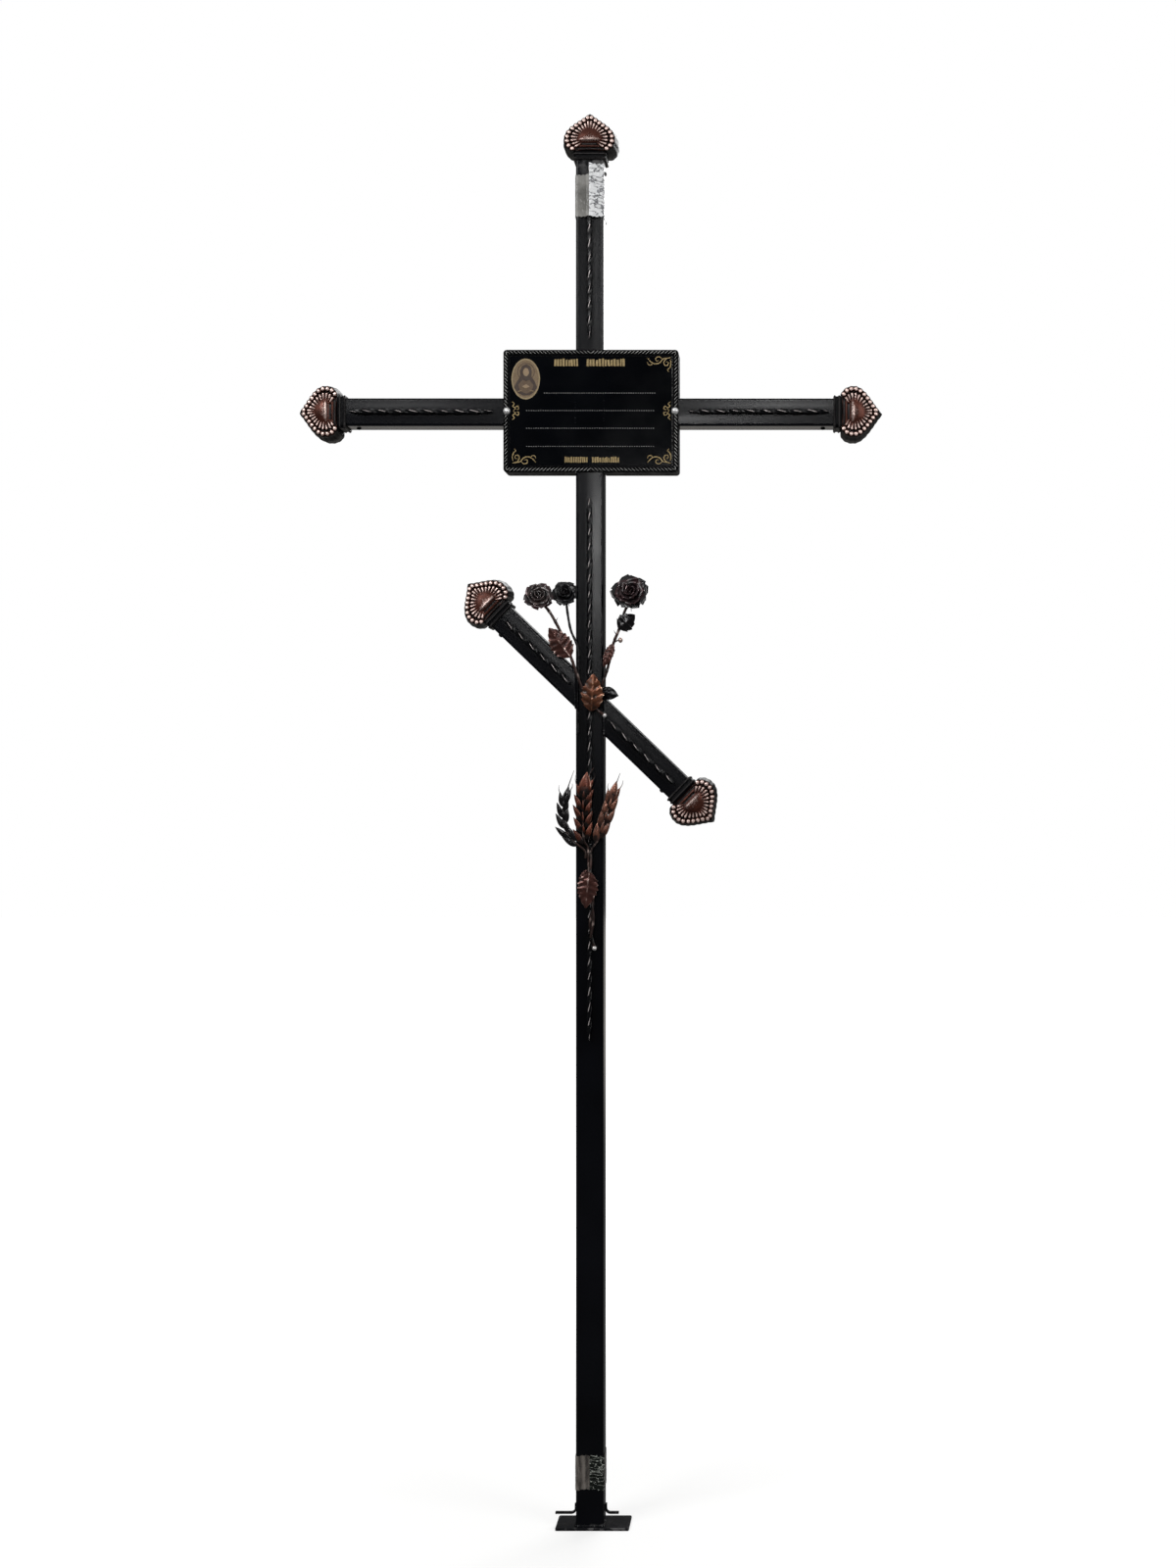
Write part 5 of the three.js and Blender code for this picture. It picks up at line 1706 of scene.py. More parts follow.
class Foliage(Assembly):
    """What the bouquet and the ears share: leaves and stems."""

    thickness = 1.4
    rows = 46
    columns = 15

    def leaf(self, shape: LeafShape, skin: Skin, mark: int = 0) -> None:
        """Makes a toothed leaf with a midrib and side veins.

        Args:
            shape: The leaf's shape.
            skin: The skin that it is added to.
            mark: The finish that it takes.
        """
        stalk, tip = np.array(shape.stalk), np.array(shape.tip)
        length = float(np.linalg.norm(tip - stalk))
        along = (tip - stalk) / length
        across = unit(np.cross((0.0, -1.0, 0.0), along))
        outward = unit(np.cross(along, across))
        share = np.linspace(0, 1, self.rows)
        swell = np.sin(np.pi * np.clip(share, 1e-4, 1 - 1e-4) ** 0.8) ** 0.8
        saw = (share * shape.teeth * 2) % 1
        tooth = 0.84 + 0.18 * saw**1.3 if shape.teeth else 1.0
        half = np.maximum(shape.width / 2 * swell * tooth, 0.5)
        u = np.linspace(1, -1, self.columns)
        bow = shape.bow * np.sin(np.pi * share)
        vein_phase = share[:, None] * (shape.teeth + 2) - np.abs(u)[None] * 0.95
        vein = np.exp(-(((vein_phase % 1) - 0.5) / 0.16) ** 2)
        vein = vein * (1 - np.abs(u)[None] ** 4) * (np.abs(u)[None] > 0.1)
        rib = np.exp(-((u[None] / 0.10) ** 2)) * (1 - 0.5 * share[:, None])
        crumple = np.sin(share * 23 + 2)[:, None] * np.cos(u * 3.1 + 0.6)[None]
        ripple = 0.6 * np.sin(vein_phase * 2 * np.pi) * np.abs(u)[None] + 0.35 * crumple
        fold = shape.fold * np.abs(u)[None] ** 1.3 * swell[:, None]
        lift = bow[:, None] + fold + 0.4 * vein * swell[:, None] + 0.9 * rib + ripple * swell[:, None]
        front = (
            stalk + along * (share * length)[:, None, None] + across * (u[None] * half[:, None])[..., None]
            + outward * lift[..., None]
        )
        relief = np.clip(0.42 + 0.10 * vein + 0.42 * rib + 0.24 * np.abs(u)[None] ** 6 + 0.26 * ripple, 0, 1)
        skin.sheet(front, self.thickness, mark, relief)

    def keep_leaves(self, *shapes: LeafShape) -> None:
        """Makes each leaf as a piece of its own."""
        for shape in shapes:
            skin = Skin()
            self.leaf(shape, skin)
            self.keep(skin, f"{shape.name}_veined", shape.slot, [shape.finish], shape.name)

    @staticmethod
    def stem(
        skin: Skin, points: Sequence[Sequence[float]], radius: float, steps: int = 70, mark: int = 0
    ) -> None:
        """Makes a stem with a hand-drawn wire's slight unevenness.

        Args:
            skin: The skin that it is added to.
            points: What it passes.
            radius: Its radius.
            steps: Steps along it.
            mark: The finish that it takes.
        """
        path = curve_through(points, steps)
        share = np.linspace(0, 1, steps + 1)
        size = radius * (1 + 0.07 * np.sin(share * 61) + 0.05 * np.sin(share * 143 + 1))
        skin.rod(path, size, 10, mark, 0.56)

    @staticmethod
    def knob(skin: Skin, centre: Sequence[float], radius: float, stretch: float = 1.0, mark: int = 0) -> None:
        """Makes a small forged knob.

        Args:
            skin: The skin that it is added to.
            centre: Its middle.
            radius: Its radius.
            stretch: How much taller than wide it is.
            mark: The finish that it takes.
        """
        tall = np.linspace(-0.5 * np.pi, 0.5 * np.pi, 13)[1:-1]
        turn = turns(18)
        dent = 1 + 0.05 * np.sin(3 * turn)[None] * np.cos(2 * tall)[:, None]
        flat = radius * np.cos(tall)[:, None] * dent
        rise = np.broadcast_to(radius * stretch * np.sin(tall)[:, None], flat.shape)
        ball = np.stack([flat * np.cos(turn), flat * np.sin(turn), rise], axis=-1)
        skin.loft(ball + np.asarray(centre, float), mark, np.full(ball.shape[:2], 0.85))


@dataclass
class Bouquet(Foliage):
    """Three roses on their stems, with leaves, a bud and a spur, welded where the slanted bar crosses."""

    tilt: float = math.radians(20)
    stem_radius: float = 2.2
    thin_radius: float = 1.8
    whorls: tuple[Whorl, ...] = (
        Whorl(5, (0.10, 0.06), 1.08, 1.75, (44, 98), 0.0, 0.16),
        Whorl(5, (0.10, 0.10), 0.94, 1.50, (34, 76), 0.5, 0.14),
        Whorl(4, (0.08, 0.16), 0.82, 1.30, (22, 52), 0.2, 0.10),
        Whorl(3, (0.06, 0.22), 0.70, 1.00, (10, 30), 0.7, 0.05),
        Whorl(3, (0.02, 0.26), 0.62, 0.60, (3, 14), 0.3, 0.0),
    )

    def build(self) -> None:
        """Makes the roses, the stems and the leaves."""
        right_base, left_base = self._at(60, 12, 152), self._at(-71, 14, 148)
        middle_base = self._at(-71 + 19 + 17.5 + GAP, 5, 153)
        self._rose(RoseShape("rose_right", right_base, 25, 0.4, ROSE_DARK, ROSE_HEART, 4))
        self._rose(RoseShape("rose_left", left_base, 19, 1.0, ROSE_HEART, ROSE_SILVER, 4))
        self._rose(RoseShape("rose_middle", middle_base, 17.5, 0.7, DARK_METAL, ROSE_DARK, 2, Slot.BLACK))
        on_bar = OVER_BAR + self.stem_radius
        self._right_stem(right_base)
        self._left_stem(left_base, on_bar)
        self._middle_stem(middle_base)
        on_stem = self.stem_radius + GAP + 1.5
        crossing = on_bar + on_stem
        at = self._at
        over = 9.5 + on_stem
        self.keep_leaves(
            LeafShape(
                "leaf_round", at(42, 7 + on_stem, 105.5), at(66, 13, 125), 28, 2, ROSE_DARK, -3,
                slot=Slot.BLACK,
            ),
            LeafShape("leaf_right", at(34.5, 6 + on_stem, 84), at(21, 11.5, 50), 15, 4, LEAF_COPPER),
            LeafShape("leaf_left", at(-26, over + 0.5, 64), at(-57, over + 1, 106), 34, 4, LEAF_COPPER),
            LeafShape("leaf_centre", at(4, crossing + 0.5, -13), at(7, crossing + 1, 40), 34, 3, BRIGHT_LEAF),
        )

    @staticmethod
    def _at(right: float, proud: float, rise: float) -> np.ndarray:
        """Gives a place to the right of the post's axis, proud of its face and above the crossing."""
        return np.array([right, FRONT - proud, SLANT_HEIGHT + rise])

    def _axis(self) -> np.ndarray:
        """Gives the direction that the roses look in."""
        return np.array([0, -math.cos(self.tilt), math.sin(self.tilt)])

    def _rose(self, rose: RoseShape) -> None:
        """Makes a rose of petals, with its calyx and curled sepals.

        Args:
            rose: The rose's shape.
        """
        rng = random.Random(rose.name)
        axis = self._axis()
        side = np.array([1.0, 0.0, 0.0])
        up = np.cross(axis, side)
        turn_to = np.stack([side, up, axis])
        skin = Skin()
        for index, whorl in enumerate(self.whorls):
            mark = 1 if index >= len(self.whorls) - rose.warm_whorls else 0
            for k in range(whorl.count):
                angle = rose.turn + 2 * math.pi * (k + whorl.turned) / whorl.count + rng.uniform(-0.12, 0.12)
                front, relief = self._petal(whorl, rose.radius, angle, rng)
                skin.sheet(rose.base + front @ turn_to, 0.7, mark, relief)
        profile = [(0.02, 0.0), (0.14, 0.01), (0.17, 0.08), (0.20, 0.18), (0.24, 0.28), (0.10, 0.34)]
        skin.loft(rose.base + rose.radius * lathe(profile, 20) @ turn_to)
        for k in range(5):
            angle = rose.turn + 2 * math.pi * k / 5 + 0.6
            out = np.array([math.cos(angle), math.sin(angle), 0])
            line = [
                out * 0.12 + (0, 0, 0.12), out * 0.45 + (0, 0, 0.10), out * 0.75,
                out * 0.92 + (0, 0, -0.12 + rng.uniform(-0.1, 0.1)),
            ]
            path = curve_through(rose.radius * np.array(line), 16)
            skin.rod(rose.base + path @ turn_to, np.linspace(1.3, 0.35, 17), 6, 0, 0.55)
        self.keep(skin, f"{rose.name}_petals", rose.slot, [rose.dark, rose.warm], rose.name, crease=60)

    @staticmethod
    def _petal(
        whorl: Whorl, radius: float, angle: float, rng: random.Random
    ) -> tuple[np.ndarray, np.ndarray]:
        """Bends one petal round the rose's axis.

        Args:
            whorl: The ring that it belongs to.
            radius: The rose's radius.
            angle: Where it stands round the axis.
            rng: Where its small differences come from.

        Returns:
            Its front as a grid of points, and its relief.
        """
        rows, columns = 15, 11
        v = np.linspace(0, 1, rows)
        lean = np.radians(whorl.lean[0] + (whorl.lean[1] - whorl.lean[0]) * v**1.6 + rng.uniform(-5, 5))
        step = whorl.length * radius / (rows - 1)
        reach = whorl.start[0] * radius + np.concatenate([[0], np.cumsum(np.sin(lean[:-1]) * step)])
        rise = whorl.start[1] * radius + np.concatenate([[0], np.cumsum(np.cos(lean[:-1]) * step)])
        half = whorl.width * radius / 2 * 1.36 * np.sqrt(v + 0.03) * np.sqrt(np.clip(1 - v**3.4, 0.012, 1))
        u = np.linspace(-1, 1, columns)
        swing = 0.05 * radius * math.sin(rng.uniform(0, 6))
        wave = swing * np.sin(u * 4.2 + rng.uniform(0, 6))[None] * v[:, None] ** 2
        bend = np.maximum(reach, 0.20 * radius)[:, None]
        turn = angle + u[None] * half[:, None] / bend * 0.82
        out = reach[:, None] + whorl.curl * radius * (u**2)[None] * v[:, None] * 0.6
        high = rise[:, None] + wave - whorl.curl * radius * (u**4)[None] * v[:, None] * 0.5
        high = high + 0.07 * radius * u[None] * v[:, None]
        front = np.stack([out * np.cos(turn), out * np.sin(turn), high + 0 * turn], axis=-1)
        # Pale petal tips and rims: dry-brushing and a painted sheen.
        edge = 0.66 * v[:, None] ** 4 + 0.45 * np.abs(u)[None] ** 8 * v[:, None] + 0.1 * v[:, None]
        relief = np.clip(0.28 + edge, 0, 1)
        return front, relief

    def _stalk(self, base: np.ndarray) -> list[np.ndarray]:
        """Gives the first two points of a stem below a rose."""
        return [base - self._axis() * GAP, base - self._axis() * 6]

    @staticmethod
    def _thorn(skin: Skin, points: Sequence[np.ndarray]) -> None:
        """Makes a thorn that tapers along its points."""
        skin.rod(curve_through(points, 8), np.linspace(1.0, 0.25, 9), 6, 0, 0.6)

    def _right_stem(self, base: np.ndarray) -> None:
        """Makes the right rose's stem with its bud and its pointed spur.

        Args:
            base: The underside of the rose's calyx.
        """
        at = self._at
        face = GAP + self.stem_radius
        skin = Skin()
        self.stem(skin, [*self._stalk(base), at(50, 6, 128), at(43.5, 7, 106), at(35, 6, 85), at(26.5, 4, 50),
                         at(18, face + 0.5, 24), at(12, face, 8)], self.stem_radius, 90)
        self.stem(skin, [at(36, 6, 86), at(41, 7.4, 88.5), at(45, 8, 89)], 1.1, 10)
        self.knob(skin, at(45, 8, 89), 3.3, 1.2)
        for right, rise, side in ((40, 97, -1), (30, 64, 1), (38, 93, 1)):
            self._thorn(skin, [
                at(right, 5, rise), at(right + side * 2.6, 5.6, rise + 2.5),
                at(right + side * 4.6, 6, rise + 6),
            ])
        self.leaf(LeafShape("spur", at(15.5, 2.5, 16), at(42, 10, 9), 19, 0, DARK_METAL, -1, 0), skin, 1)
        self.keep(skin, "stem_right_drawn", Slot.COPPER, [STEM_METAL, DARK_METAL], "stem_right", passes=4)

    def _left_stem(self, base: np.ndarray, on_bar: float) -> None:
        """Makes the left rose's stem, which ends in a bright ball below the crossing.

        Args:
            base: The underside of the rose's calyx.
            on_bar: How far proud of the post it lies over the twisted bar.
        """
        at = self._at
        skin = Skin()
        self.stem(skin, [*self._stalk(base), at(-58.5, 7.5, 132), at(-46, 9, 111), at(-33.5, 9.5, 85),
                         at(-25, 10, 62), at(-11.5, on_bar, 25), at(0, on_bar + 0.2, 3), at(10, 8.5, -10),
                         at(22, 6.5, -19)], self.stem_radius, 100)
        self.knob(skin, at(22, 6.3, -19), 3.3, mark=1)
        for right, rise, side in ((-49, 116, 1), (-27.5, 68, -1)):
            self._thorn(skin, [
                at(right, 9, rise), at(right + side * 2.5, 9.6, rise + 2),
                at(right + side * 4.4, 10, rise + 5.5),
            ])
        self.keep(skin, "stem_left_drawn", Slot.COPPER, [STEM_METAL, ROSE_SILVER], "stem_left", passes=4)

    def _middle_stem(self, base: np.ndarray) -> None:
        """Makes the dark stem down the post's left edge.

        Args:
            base: The underside of the middle rose's calyx.
        """
        at = self._at
        edge, flat = self.thin_radius + 1.2 - TUBE / 2, GAP + self.thin_radius
        skin = Skin()
        self.stem(skin, [*self._stalk(base), at(-32, -0.5, 130), at(-27, 1, 104), at(edge, flat, 78),
                         at(edge, flat, 23), at(edge, flat, -12), at(edge, flat, -50)], self.thin_radius, 100)
        self.keep(skin, "stem_middle_drawn", Slot.BLACK, [DARK_METAL], "stem_middle", passes=4)


@dataclass(frozen=True)
class EarShape:
    """One ear of wheat: its stalk and axis, the end of its awn, its finish and its grains.

    The grain and the top one have a length and a width, and the spread is how far they lean out in degrees.
    """

    name: str
    stalk: tuple[tuple[float, float, float], ...]
    axis: tuple[tuple[float, float, float], ...]
    awn: tuple[float, float, float]
    finish: Finish
    pairs: int = 4
    grain: tuple[float, float] = (25.0, 8.6)
    top: tuple[float, float] = (31.0, 11.0)
    spread: float = 15.0


@dataclass
class WheatEars(Foliage):
    """Three ears of wheat over the post's twisted bar, with their stems and two leaves."""

    grain_depth: float = 5.4
    thin_radius: float = 1.8

    def build(self) -> None:
        """Makes the ears, the stems and the leaves."""
        lower = OVER_BAR + self.thin_radius
        upper = lower + 2 * self.thin_radius + GAP
        grain = OVER_BAR + 4.5
        pitch = 2 * self.thin_radius + GAP
        for shape in (
            EarShape(
                "ear_left", ((-1 - pitch, lower, -8), (-1 - pitch, lower, 0), (-8, lower, 5)),
                ((-18, grain, 13), (-30, grain, 26), (-36, grain, 50), (-35, grain, 74), (-31, grain, 90)),
                (-21, grain, 118), EAR_DARK,
            ),
            EarShape(
                "ear_centre", ((-1, lower, 0), (-1.5, lower, 8)),
                ((-6, grain, 16), (-8, grain, 50), (-7, grain, 80), (-4, grain, 104)), (7, grain, 122),
                EAR_COPPER, 4, (27.0, 8.4), (38.0, 19.0), 27.0,
            ),
            EarShape(
                "ear_right", ((-1 + pitch, lower, 0), (4.5, lower, 6)),
                ((13, grain, 18), (20, grain, 38), (28, grain, 62), (37, grain, 92)),
                (45, grain, 114), EAR_LIGHT, 3, (30.0, 10.0), (34.0, 13.0), 13.0,
            ),
        ):
            self._ear(shape)
        at = self._at
        skin = Skin()
        self.stem(skin, [at(-1, lower, -2 * GAP), at(-1, lower, -6), at(0.5, lower, -28), at(6, lower, -74),
                         at(1.5, lower, -104), at(8, lower, -136)], self.thin_radius, 80)
        self.knob(skin, at(8, lower + 1, -137), 3.3, mark=1)
        self.keep(
            skin, "ear_stem_long_drawn", Slot.COPPER, [STEM_METAL, ROSE_SILVER], "ear_stem_long", passes=4
        )
        skin = Skin()
        self.stem(skin, [
            at(-1 + pitch, lower, -3 * GAP), at(-1 + pitch, lower, -5), at(3.2, lower + 1.5, -12),
            at(2.5, upper, -24), at(0, upper, -48), at(7, upper, -92), at(3, upper, -122),
        ], self.thin_radius, 80)
        self.keep(skin, "ear_stem_short_drawn", Slot.COPPER, [STEM_METAL], "ear_stem_short", passes=4)
        on_top = upper + self.thin_radius + GAP + 1.5
        base, tip = at(1, on_top + 0.3, -27), at(-4, on_top + 0.8, -79)
        self.keep_leaves(
            LeafShape("leaf_lower", base, tip, 31, 4, LEAF_COPPER, bow=1),
            LeafShape("leaf_small", at(-2.4, lower, -25), at(-14, lower, -38), 7, 2, LEAF_COPPER, -1, 0),
        )

    @staticmethod
    def _at(right: float, proud: float, rise: float) -> np.ndarray:
        """Gives a place to the right of the post's axis, proud of its face and above the ears' foot."""
        return np.array([right, FRONT - proud, EARS_HEIGHT + rise])

    def _ear(self, shape: EarShape) -> None:
        """Makes one ear grain by grain.

        Args:
            shape: The ear's shape.
        """
        rng = random.Random(shape.name)
        stalk = [self._at(*p) for p in shape.stalk]
        axis = [self._at(*p) for p in shape.axis]
        skin = Skin()
        self.stem(skin, [*stalk, *axis], self.thin_radius * 0.85, 60, 1)
        line = curve_through(axis, 200)
        way = tangents(line)
        front = np.array([0.0, -1.0, 0.0])
        long, wide = shape.grain
        for pair in range(shape.pairs + 1):
            spot = int(185 * pair / (shape.pairs + 1))
            size = 1 - 0.14 * (pair / shape.pairs) ** 2
            across = unit(np.cross(way[spot], front))
            for side in (1, -1):
                lean = math.radians(shape.spread) * rng.uniform(0.85, 1.15)
                heading = unit(way[spot] * math.cos(lean) + across * side * math.sin(lean) + front * 0.06)
                base = line[spot] + across * side * 2.2 + way[spot] * side * long * 0.12
                self._grain(skin, base, heading, long * size, wide * size, rng)
                if pair == shape.pairs:
                    tip = base + heading * long * size * 0.9
                    end = tip + way[spot] * rng.uniform(8, 14) + across * side * rng.uniform(1, 3)
                    hair = curve_through([tip, (tip + end) / 2 + across * side * 1.2, end], 10)
                    skin.rod(hair, np.linspace(0.75, 0.2, 11), 6, 1, 0.55)
            middle = min(spot + int(100 / (shape.pairs + 1)), 199)
            self._grain(
                skin, line[middle] + front * 1.8, unit(way[middle] + front * 0.08), long * size * 0.7,
                wide * 0.4, rng
            )
        self._grain(skin, line[140] + front * 2, way[199], *shape.top, rng)
        awn = curve_through(
            [line[199], (line[199] + self._at(*shape.awn)) / 2 + (0, -1, 0), self._at(*shape.awn)], 16
        )
        skin.rod(awn, np.linspace(1.0, 0.3, 17), 6, 1, 0.5)
        self.keep(
            skin, f"{shape.name}_grains", Slot.COPPER, [shape.finish, STEM_METAL], shape.name, crease=60
        )

    def _grain(
        self, skin: Skin, base: np.ndarray, heading: np.ndarray, length: float, width: float,
        rng: random.Random
    ) -> None:
        """Makes a creased grain that swells from its base and runs out to a point.

        Args:
            skin: The ear's skin.
            base: Where the grain starts.
            heading: Where it points.
            length: Its length.
            width: Its greatest width.
            rng: Where its small differences come from.
        """
        front = np.array([0.0, -1.0, 0.0])
        across = unit(np.cross(heading, front))
        outward = unit(np.cross(across, heading))
        long = length * rng.uniform(0.94, 1.06)
        v = np.linspace(0, 1, 13)
        swell = np.sin(np.pi * np.clip(v, 0.012, 0.988) ** 0.72) ** 0.85
        turn = turns(14)
        crease = 1 - 0.26 * np.exp(-((np.angle(np.exp(1j * (turn - math.pi / 2))) / 0.34) ** 2))
        flat = np.cos(turn) * crease
        deep = np.sin(turn) * crease
        wide = width / 2 * swell
        thick = self.grain_depth / 2 * swell
        loops = (
            base + heading * (v * long)[:, None, None]
            + across * (wide[:, None] * flat[None])[..., None]
            + outward * (thick[:, None] * deep[None])[..., None]
        )
        # Painted shade and highlight, partly brushing: the grain's sides and base stay dark, as in the shade
        # between grains, and its front rims take the pale crest.
        rim = np.exp(-(((np.abs(np.cos(turn)) - 0.85) / 0.16) ** 2)) * (np.sin(turn) > 0.2)
        painted_lit = 0.2 + 0.8 * smooth(v, 0.1, 0.55)[:, None]
        relief = 0.08 + (0.36 * np.maximum(np.sin(turn), 0) + 0.58 * rim)[None] * painted_lit
        skin.loft(loops, 0, np.clip(relief, 0, 1))


@dataclass
class Foot(Assembly):
    """The flat foot plate, two bent anchor strips and the weld round the post."""

    edge: float = 0.8
    anchor_depth: float = 6.0
    thickness: float = 3.0
    bend: float = 5.0
    rise: float = 10.0
    bead: float = 1.7

    def build(self) -> None:
        """Makes the plate, the strips and the welds."""
        low, high = solid("foot_plate")
        middle = (low + high) / 2
        half = (high - low) / 2
        skin = Skin()
        loops = []
        for z, inset in ((low[2], 4), (low[2], self.edge), (low[2] + self.edge, 0), (high[2] - self.edge, 0),
                         (high[2], self.edge), (high[2], 4)):
            ring = []
            corner = max(2 - inset, 0.4)
            for sx, sy, start in ((1, 1, 0), (-1, 1, 90), (-1, -1, 180), (1, -1, 270)):
                for step in range(4):
                    turn = math.radians(start + 30 * step)
                    ring.append((
                        middle[0] + sx * (half[0] - inset - corner) + corner * math.cos(turn),
                        middle[1] + sy * (half[1] - inset - corner) + corner * math.sin(turn), z,
                    ))
            loops.append(ring)
        skin.loft(np.array(loops))
        self.keep(skin, "foot_plate_cut", Slot.BLACK, [ENAMEL], "foot_plate", passes=2, proud=0.4, crease=30)
        for word, sign in (("left", -1), ("right", 1)):
            self._anchor(word, sign)
        self._weld(high[2])

    def _anchor(self, word: str, sign: int) -> None:
        """Makes one bent strip.

        Args:
            word: Which side it stands on.
            sign: -1 for the left and 1 for the right.
        """
        low, high = solid(f"anchor_{word}")
        wall = sign * (TUBE / 2 + GAP)
        end = high[0] if sign > 0 else low[0]
        base, top = low[2], high[2]
        half = self.thickness / 2
        radius = self.bend + half
        level = base + half + radius
        line = [(wall + sign * half, top), (wall + sign * half, level)]
        for step in range(1, 8):
            turn = math.radians(90 * step / 7)
            x = wall + sign * (half + radius - radius * math.cos(turn))
            line.append((x, level - radius * math.sin(turn)))
        line.append((end, base + half))
        path = np.array(line)
        way = tangents(path)
        out = np.stack([-way[:, 1], way[:, 0]], axis=1)
        y = self.anchor_depth / 2
        section = [(half, -y + 0.5), (half - 0.5, -y), (0.5 - half, -y), (-half, -y + 0.5),
                   (-half, y - 0.5), (0.5 - half, y), (half - 0.5, y), (half, y - 0.5)]
        loops = [[(p[0] + o[0] * a, b, p[1] + o[1] * a) for a, b in section] for p, o in zip(path, out)]
        skin = Skin()
        skin.loft(np.array(loops))
        for y_side in (-1, 1):
            seam = [(wall + sign * 0.4, y_side * (y + 0.2), z) for z in np.linspace(level, top, 12)]
            size = [0.9 + 0.25 * math.sin(i * 2.1) for i in range(12)]
            skin.rod(np.array(seam), np.array(size), 8)
        self.keep(skin, f"anchor_{word}_bent", Slot.BLACK, [WELD], f"anchor_{word}", passes=3)

    def _weld(self, level: float) -> None:
        """Makes the weld bead round the post's foot.

        Args:
            level: The height of the plate's top.
        """
        rng = random.Random(5)
        ring = rounded_square(TUBE / 2 + 0.3, 3.2, 5)
        path = equal_steps(
            np.column_stack([ring, np.full(len(ring), level + 0.5)])[list(range(len(ring))) + [0]], 220
        )
        size = [self.bead * (0.85 + 0.22 * math.sin(i * 1.7) + rng.uniform(-0.1, 0.1)) for i in range(221)]
        skin = Skin()
        skin.rod(path, np.array(size), 8)
        self.keep(skin, "foot_weld", Slot.BLACK, [WELD], passes=5, proud=0.5)


@dataclass(frozen=True)
class Band:
    """A band of film round the post: its name and heights, its crumpled and its taut finish.

    The film is crumpled on the right half of the front. The taut part ends lower, by its step.
    """

    name: str
    low: float
    high: float
    crumpled: Finish
    taut: Finish
    step: float = 0.0
    over_bar: bool = False


@dataclass
class FilmBands(Assembly):
    """Clear packing film left round the post near its top and its foot."""

    bands: tuple[Band, ...] = (
        Band("film_band_top", 1888, 1964, SILVER_FILM, SMOOTH_FILM, 16, True),
        Band("film_band_low", 57, 106, GREEN_FILM, BROWN_FILM),
    )
    stand_off: float = 0.75
    wrinkle: float = 1.1

    def build(self) -> None:
        """Makes each band as a sheet, crumpled on the right half of its front."""
        half = TUBE / 2 + self.stand_off
        for band in self.bands:
            ring = rounded_square(half, 3.4, 5)
            ring = np.roll(ring, -(len(ring) // 4 * 3), axis=0)
            loop = equal_steps(np.vstack([ring, ring[:1]]), 240)
            x, y = loop[:, 0], loop[:, 1]
            if band.over_bar:
                tent = np.interp(np.abs(x), [0, 3.2, 17.5], [9.2, 8.6, 0.0])
                y = np.where(y < 1 - half, y - tent, y)
            away = unit(loop)[None]
            run = np.concatenate([[0], np.cumsum(np.hypot(np.diff(x), np.diff(y)))])[None]
            corner = int(np.argmax(loop[:, 1] > 4 - half))
            skin = Skin()
            for mark, part, depth, step in (
                (0, slice(0, corner + 1), self.wrinkle, 0.0),
                (1, slice(corner, None), self.wrinkle * 0.25, band.step),
            ):
                z = np.linspace(band.low, band.high - step, 120)[:, None]
                bent = z + 3.0 * np.sin(run * 0.31 + z * 0.11) + 1.6 * np.sin(run * 0.83 - z * 0.23)
                fold = np.sin(bent * 0.37) + 0.8 * np.sin(bent * 0.83 + 1.7)
                fold = fold + 0.6 * np.sin(bent * 1.9 + run * 0.2)
                crisp = np.abs(fold) ** 0.6 * np.sign(fold)
                out = depth * (0.5 + 0.5 * crisp / 1.7)
                edge = 0.9 * np.sin(run * 0.21 + band.low) + 0.5 * np.sin(run * 0.9)
                lift = np.where(np.abs(z - np.mean(z)) > 0.47 * np.ptp(z), edge, 0)
                place = np.stack(
                    [x + away[..., 0] * out, y + away[..., 1] * out, z + lift + 0 * run], axis=-1
                )
                relief = np.clip(0.62 + (0.5 * crisp / 1.7, 0 * crisp)[mark], 0, 1)
                skin.grid(place[:, part], mark, relief[:, part], around=False)
            self.keep(skin, band.name, Slot.FILM, [band.crumpled, band.taut], crease=70)


# Studio


@dataclass(frozen=True)
class SoftBox:
    """A soft light: its name, where it hangs, what it faces, its size and its power."""

    name: str
    place: tuple[float, float, float]
    towards: tuple[float, float, float]
    size: tuple[float, float]
    power: float


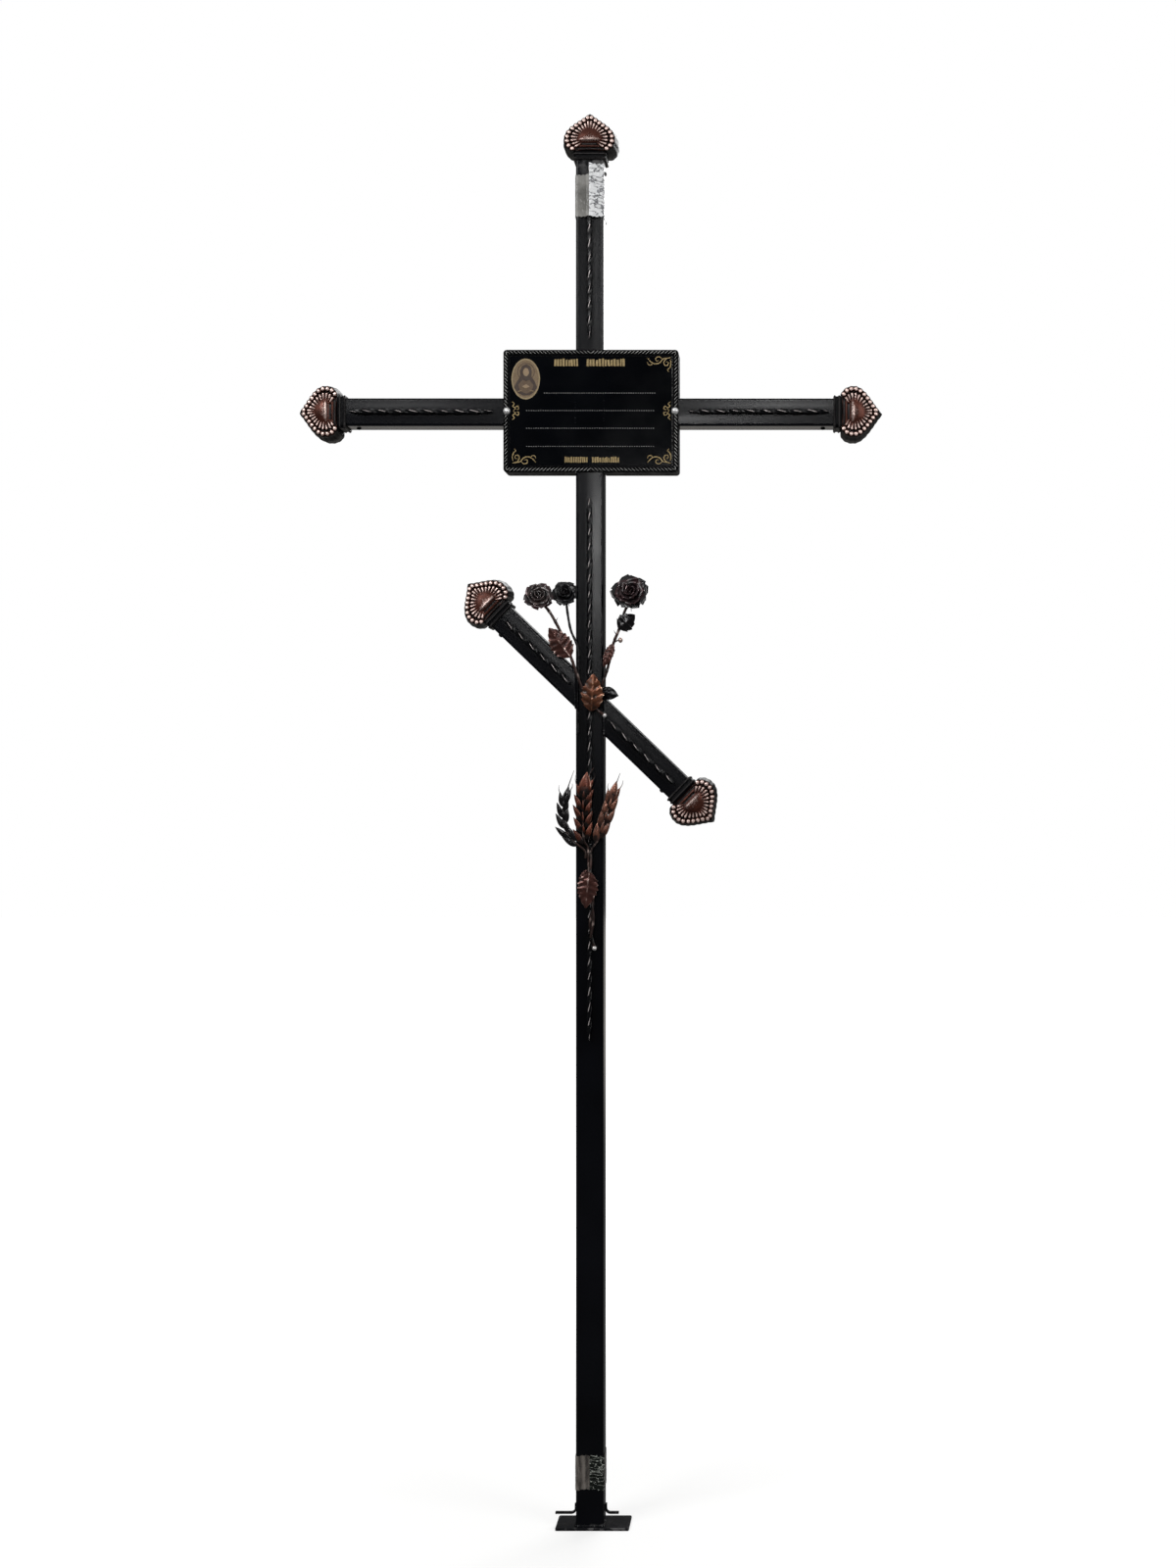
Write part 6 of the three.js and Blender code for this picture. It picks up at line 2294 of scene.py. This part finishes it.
@dataclass
class Studio:
    """The camera, the soft lights, the pale surroundings and the floor, in metres."""

    camera_place: tuple[float, float, float] = (0.300, -3.100, 1.0725)
    lens: float = 49.14
    sensor: float = 36.0
    shift: float = -0.134
    floor_half: float = 14.0
    boxes: tuple[SoftBox, ...] = (
        SoftBox("key_box", (-2.4, -2.6, 3.4), (0, 0, 1.2), (1.8, 1.8), 70),
        SoftBox("fill_box", (3.0, -2.0, 2.4), (0, 0, 1.1), (1.6, 2.2), 40),
        SoftBox("post_strip", (-0.12, -4.4, 1.92), (0.0, 0.0, 1.42), (0.26, 0.18), 9.0),
        SoftBox("left_arm_strip", (-0.86, -3.0, 2.56), (-0.3, 0, 1.6), (0.20, 0.40), 4.2),
        SoftBox("right_arm_strip", (0.24, -3.0, 2.56), (0.2, 0, 1.6), (0.22, 0.36), 8.5),
        SoftBox("back_box", (0.8, 2.6, 3.0), (0, 0, 1.2), (2.4, 1.6), 60),
    )

    def build(self) -> None:
        """Makes everything that isn't part of the cross."""
        self._camera()
        for box in self.boxes:
            self._light(box)
        self._surroundings()
        self._floor()

    def _camera(self) -> None:
        """Makes the camera at the photograph's place."""
        data = bpy.data.cameras.new("camera")
        data.lens = self.lens
        data.sensor_width = self.sensor
        data.sensor_fit = "AUTO"
        data.shift_x = self.shift
        camera = bpy.data.objects.new("camera", data)
        camera.location = self.camera_place
        camera.rotation_euler = (math.pi / 2, 0, 0)
        bpy.context.scene.collection.objects.link(camera)
        bpy.context.scene.camera = camera

    @staticmethod
    def _light(box: SoftBox) -> None:
        """Hangs one soft light.

        Args:
            box: The light.
        """
        data = bpy.data.lights.new(box.name, "AREA")
        data.shape = "RECTANGLE"
        data.size, data.size_y = box.size
        data.energy = box.power
        light = bpy.data.objects.new(box.name, data)
        light.location = box.place
        light.rotation_euler = (Vector(box.towards) - Vector(box.place)).to_track_quat("-Z", "Y").to_euler()
        bpy.context.scene.collection.objects.link(light)

    @staticmethod
    def _surroundings() -> None:
        """Makes pale surroundings that reach the enamel dimly and mostly from above."""
        world = bpy.data.worlds.new("pale_room")
        bpy.context.scene.world = world
        world.use_nodes = True
        world.node_tree.nodes.clear()
        tree = Tree(world.node_tree)
        way = tree.node("TexCoord").outputs["Generated"]
        height = tree.node("SeparateXYZ", {0: way}).outputs[2]
        dim = tree.ease(height, 0.2, 0.9, (0.055, 0.45))
        seen = tree.node("LightPath").outputs["Is Camera Ray"]
        level = tree.node("MapRange", {"Value": seen, "To Min": dim, "To Max": 1.0}).outputs[0]
        colour = tree.node("Background", {"Color": (1.0, 1.0, 1.0, 1.0), "Strength": level})
        end = tree.node("OutputWorld")
        world.node_tree.links.new(colour.outputs[0], end.inputs[0])

    def _floor(self) -> None:
        """Makes the floor."""
        mesh = bpy.data.meshes.new("floor")
        half = self.floor_half
        mesh.from_pydata(
            [(-half, -half, 0), (half, -half, 0), (half, half, 0), (-half, half, 0)], [], [(0, 1, 2, 3)]
        )
        floor = bpy.data.objects.new("floor", mesh)
        mesh.materials.append(FLOOR.material())
        bpy.context.scene.collection.objects.link(floor)


def main() -> None:
    """Builds the studio, then the cross from its post outwards."""
    logging.basicConfig(level=logging.INFO, format="%(name)s %(message)s")
    Studio().build()
    arms = arms_of_cross()
    assemblies: tuple[Assembly, ...] = (
        TubeFrame(arms=arms), SpadeCaps(arms=arms), SmallScrews(arms=arms), TwistedBars(arms=arms),
        NamePlate(), Bouquet(), WheatEars(), Foot(), FilmBands(),
    )
    for assembly in assemblies:
        assembly.build()
        assembly.dress()
        log.info("%s done", type(assembly).__name__)
    bpy.context.scene.view_settings.view_transform = "Standard"


if __name__ == "__main__":
    main()
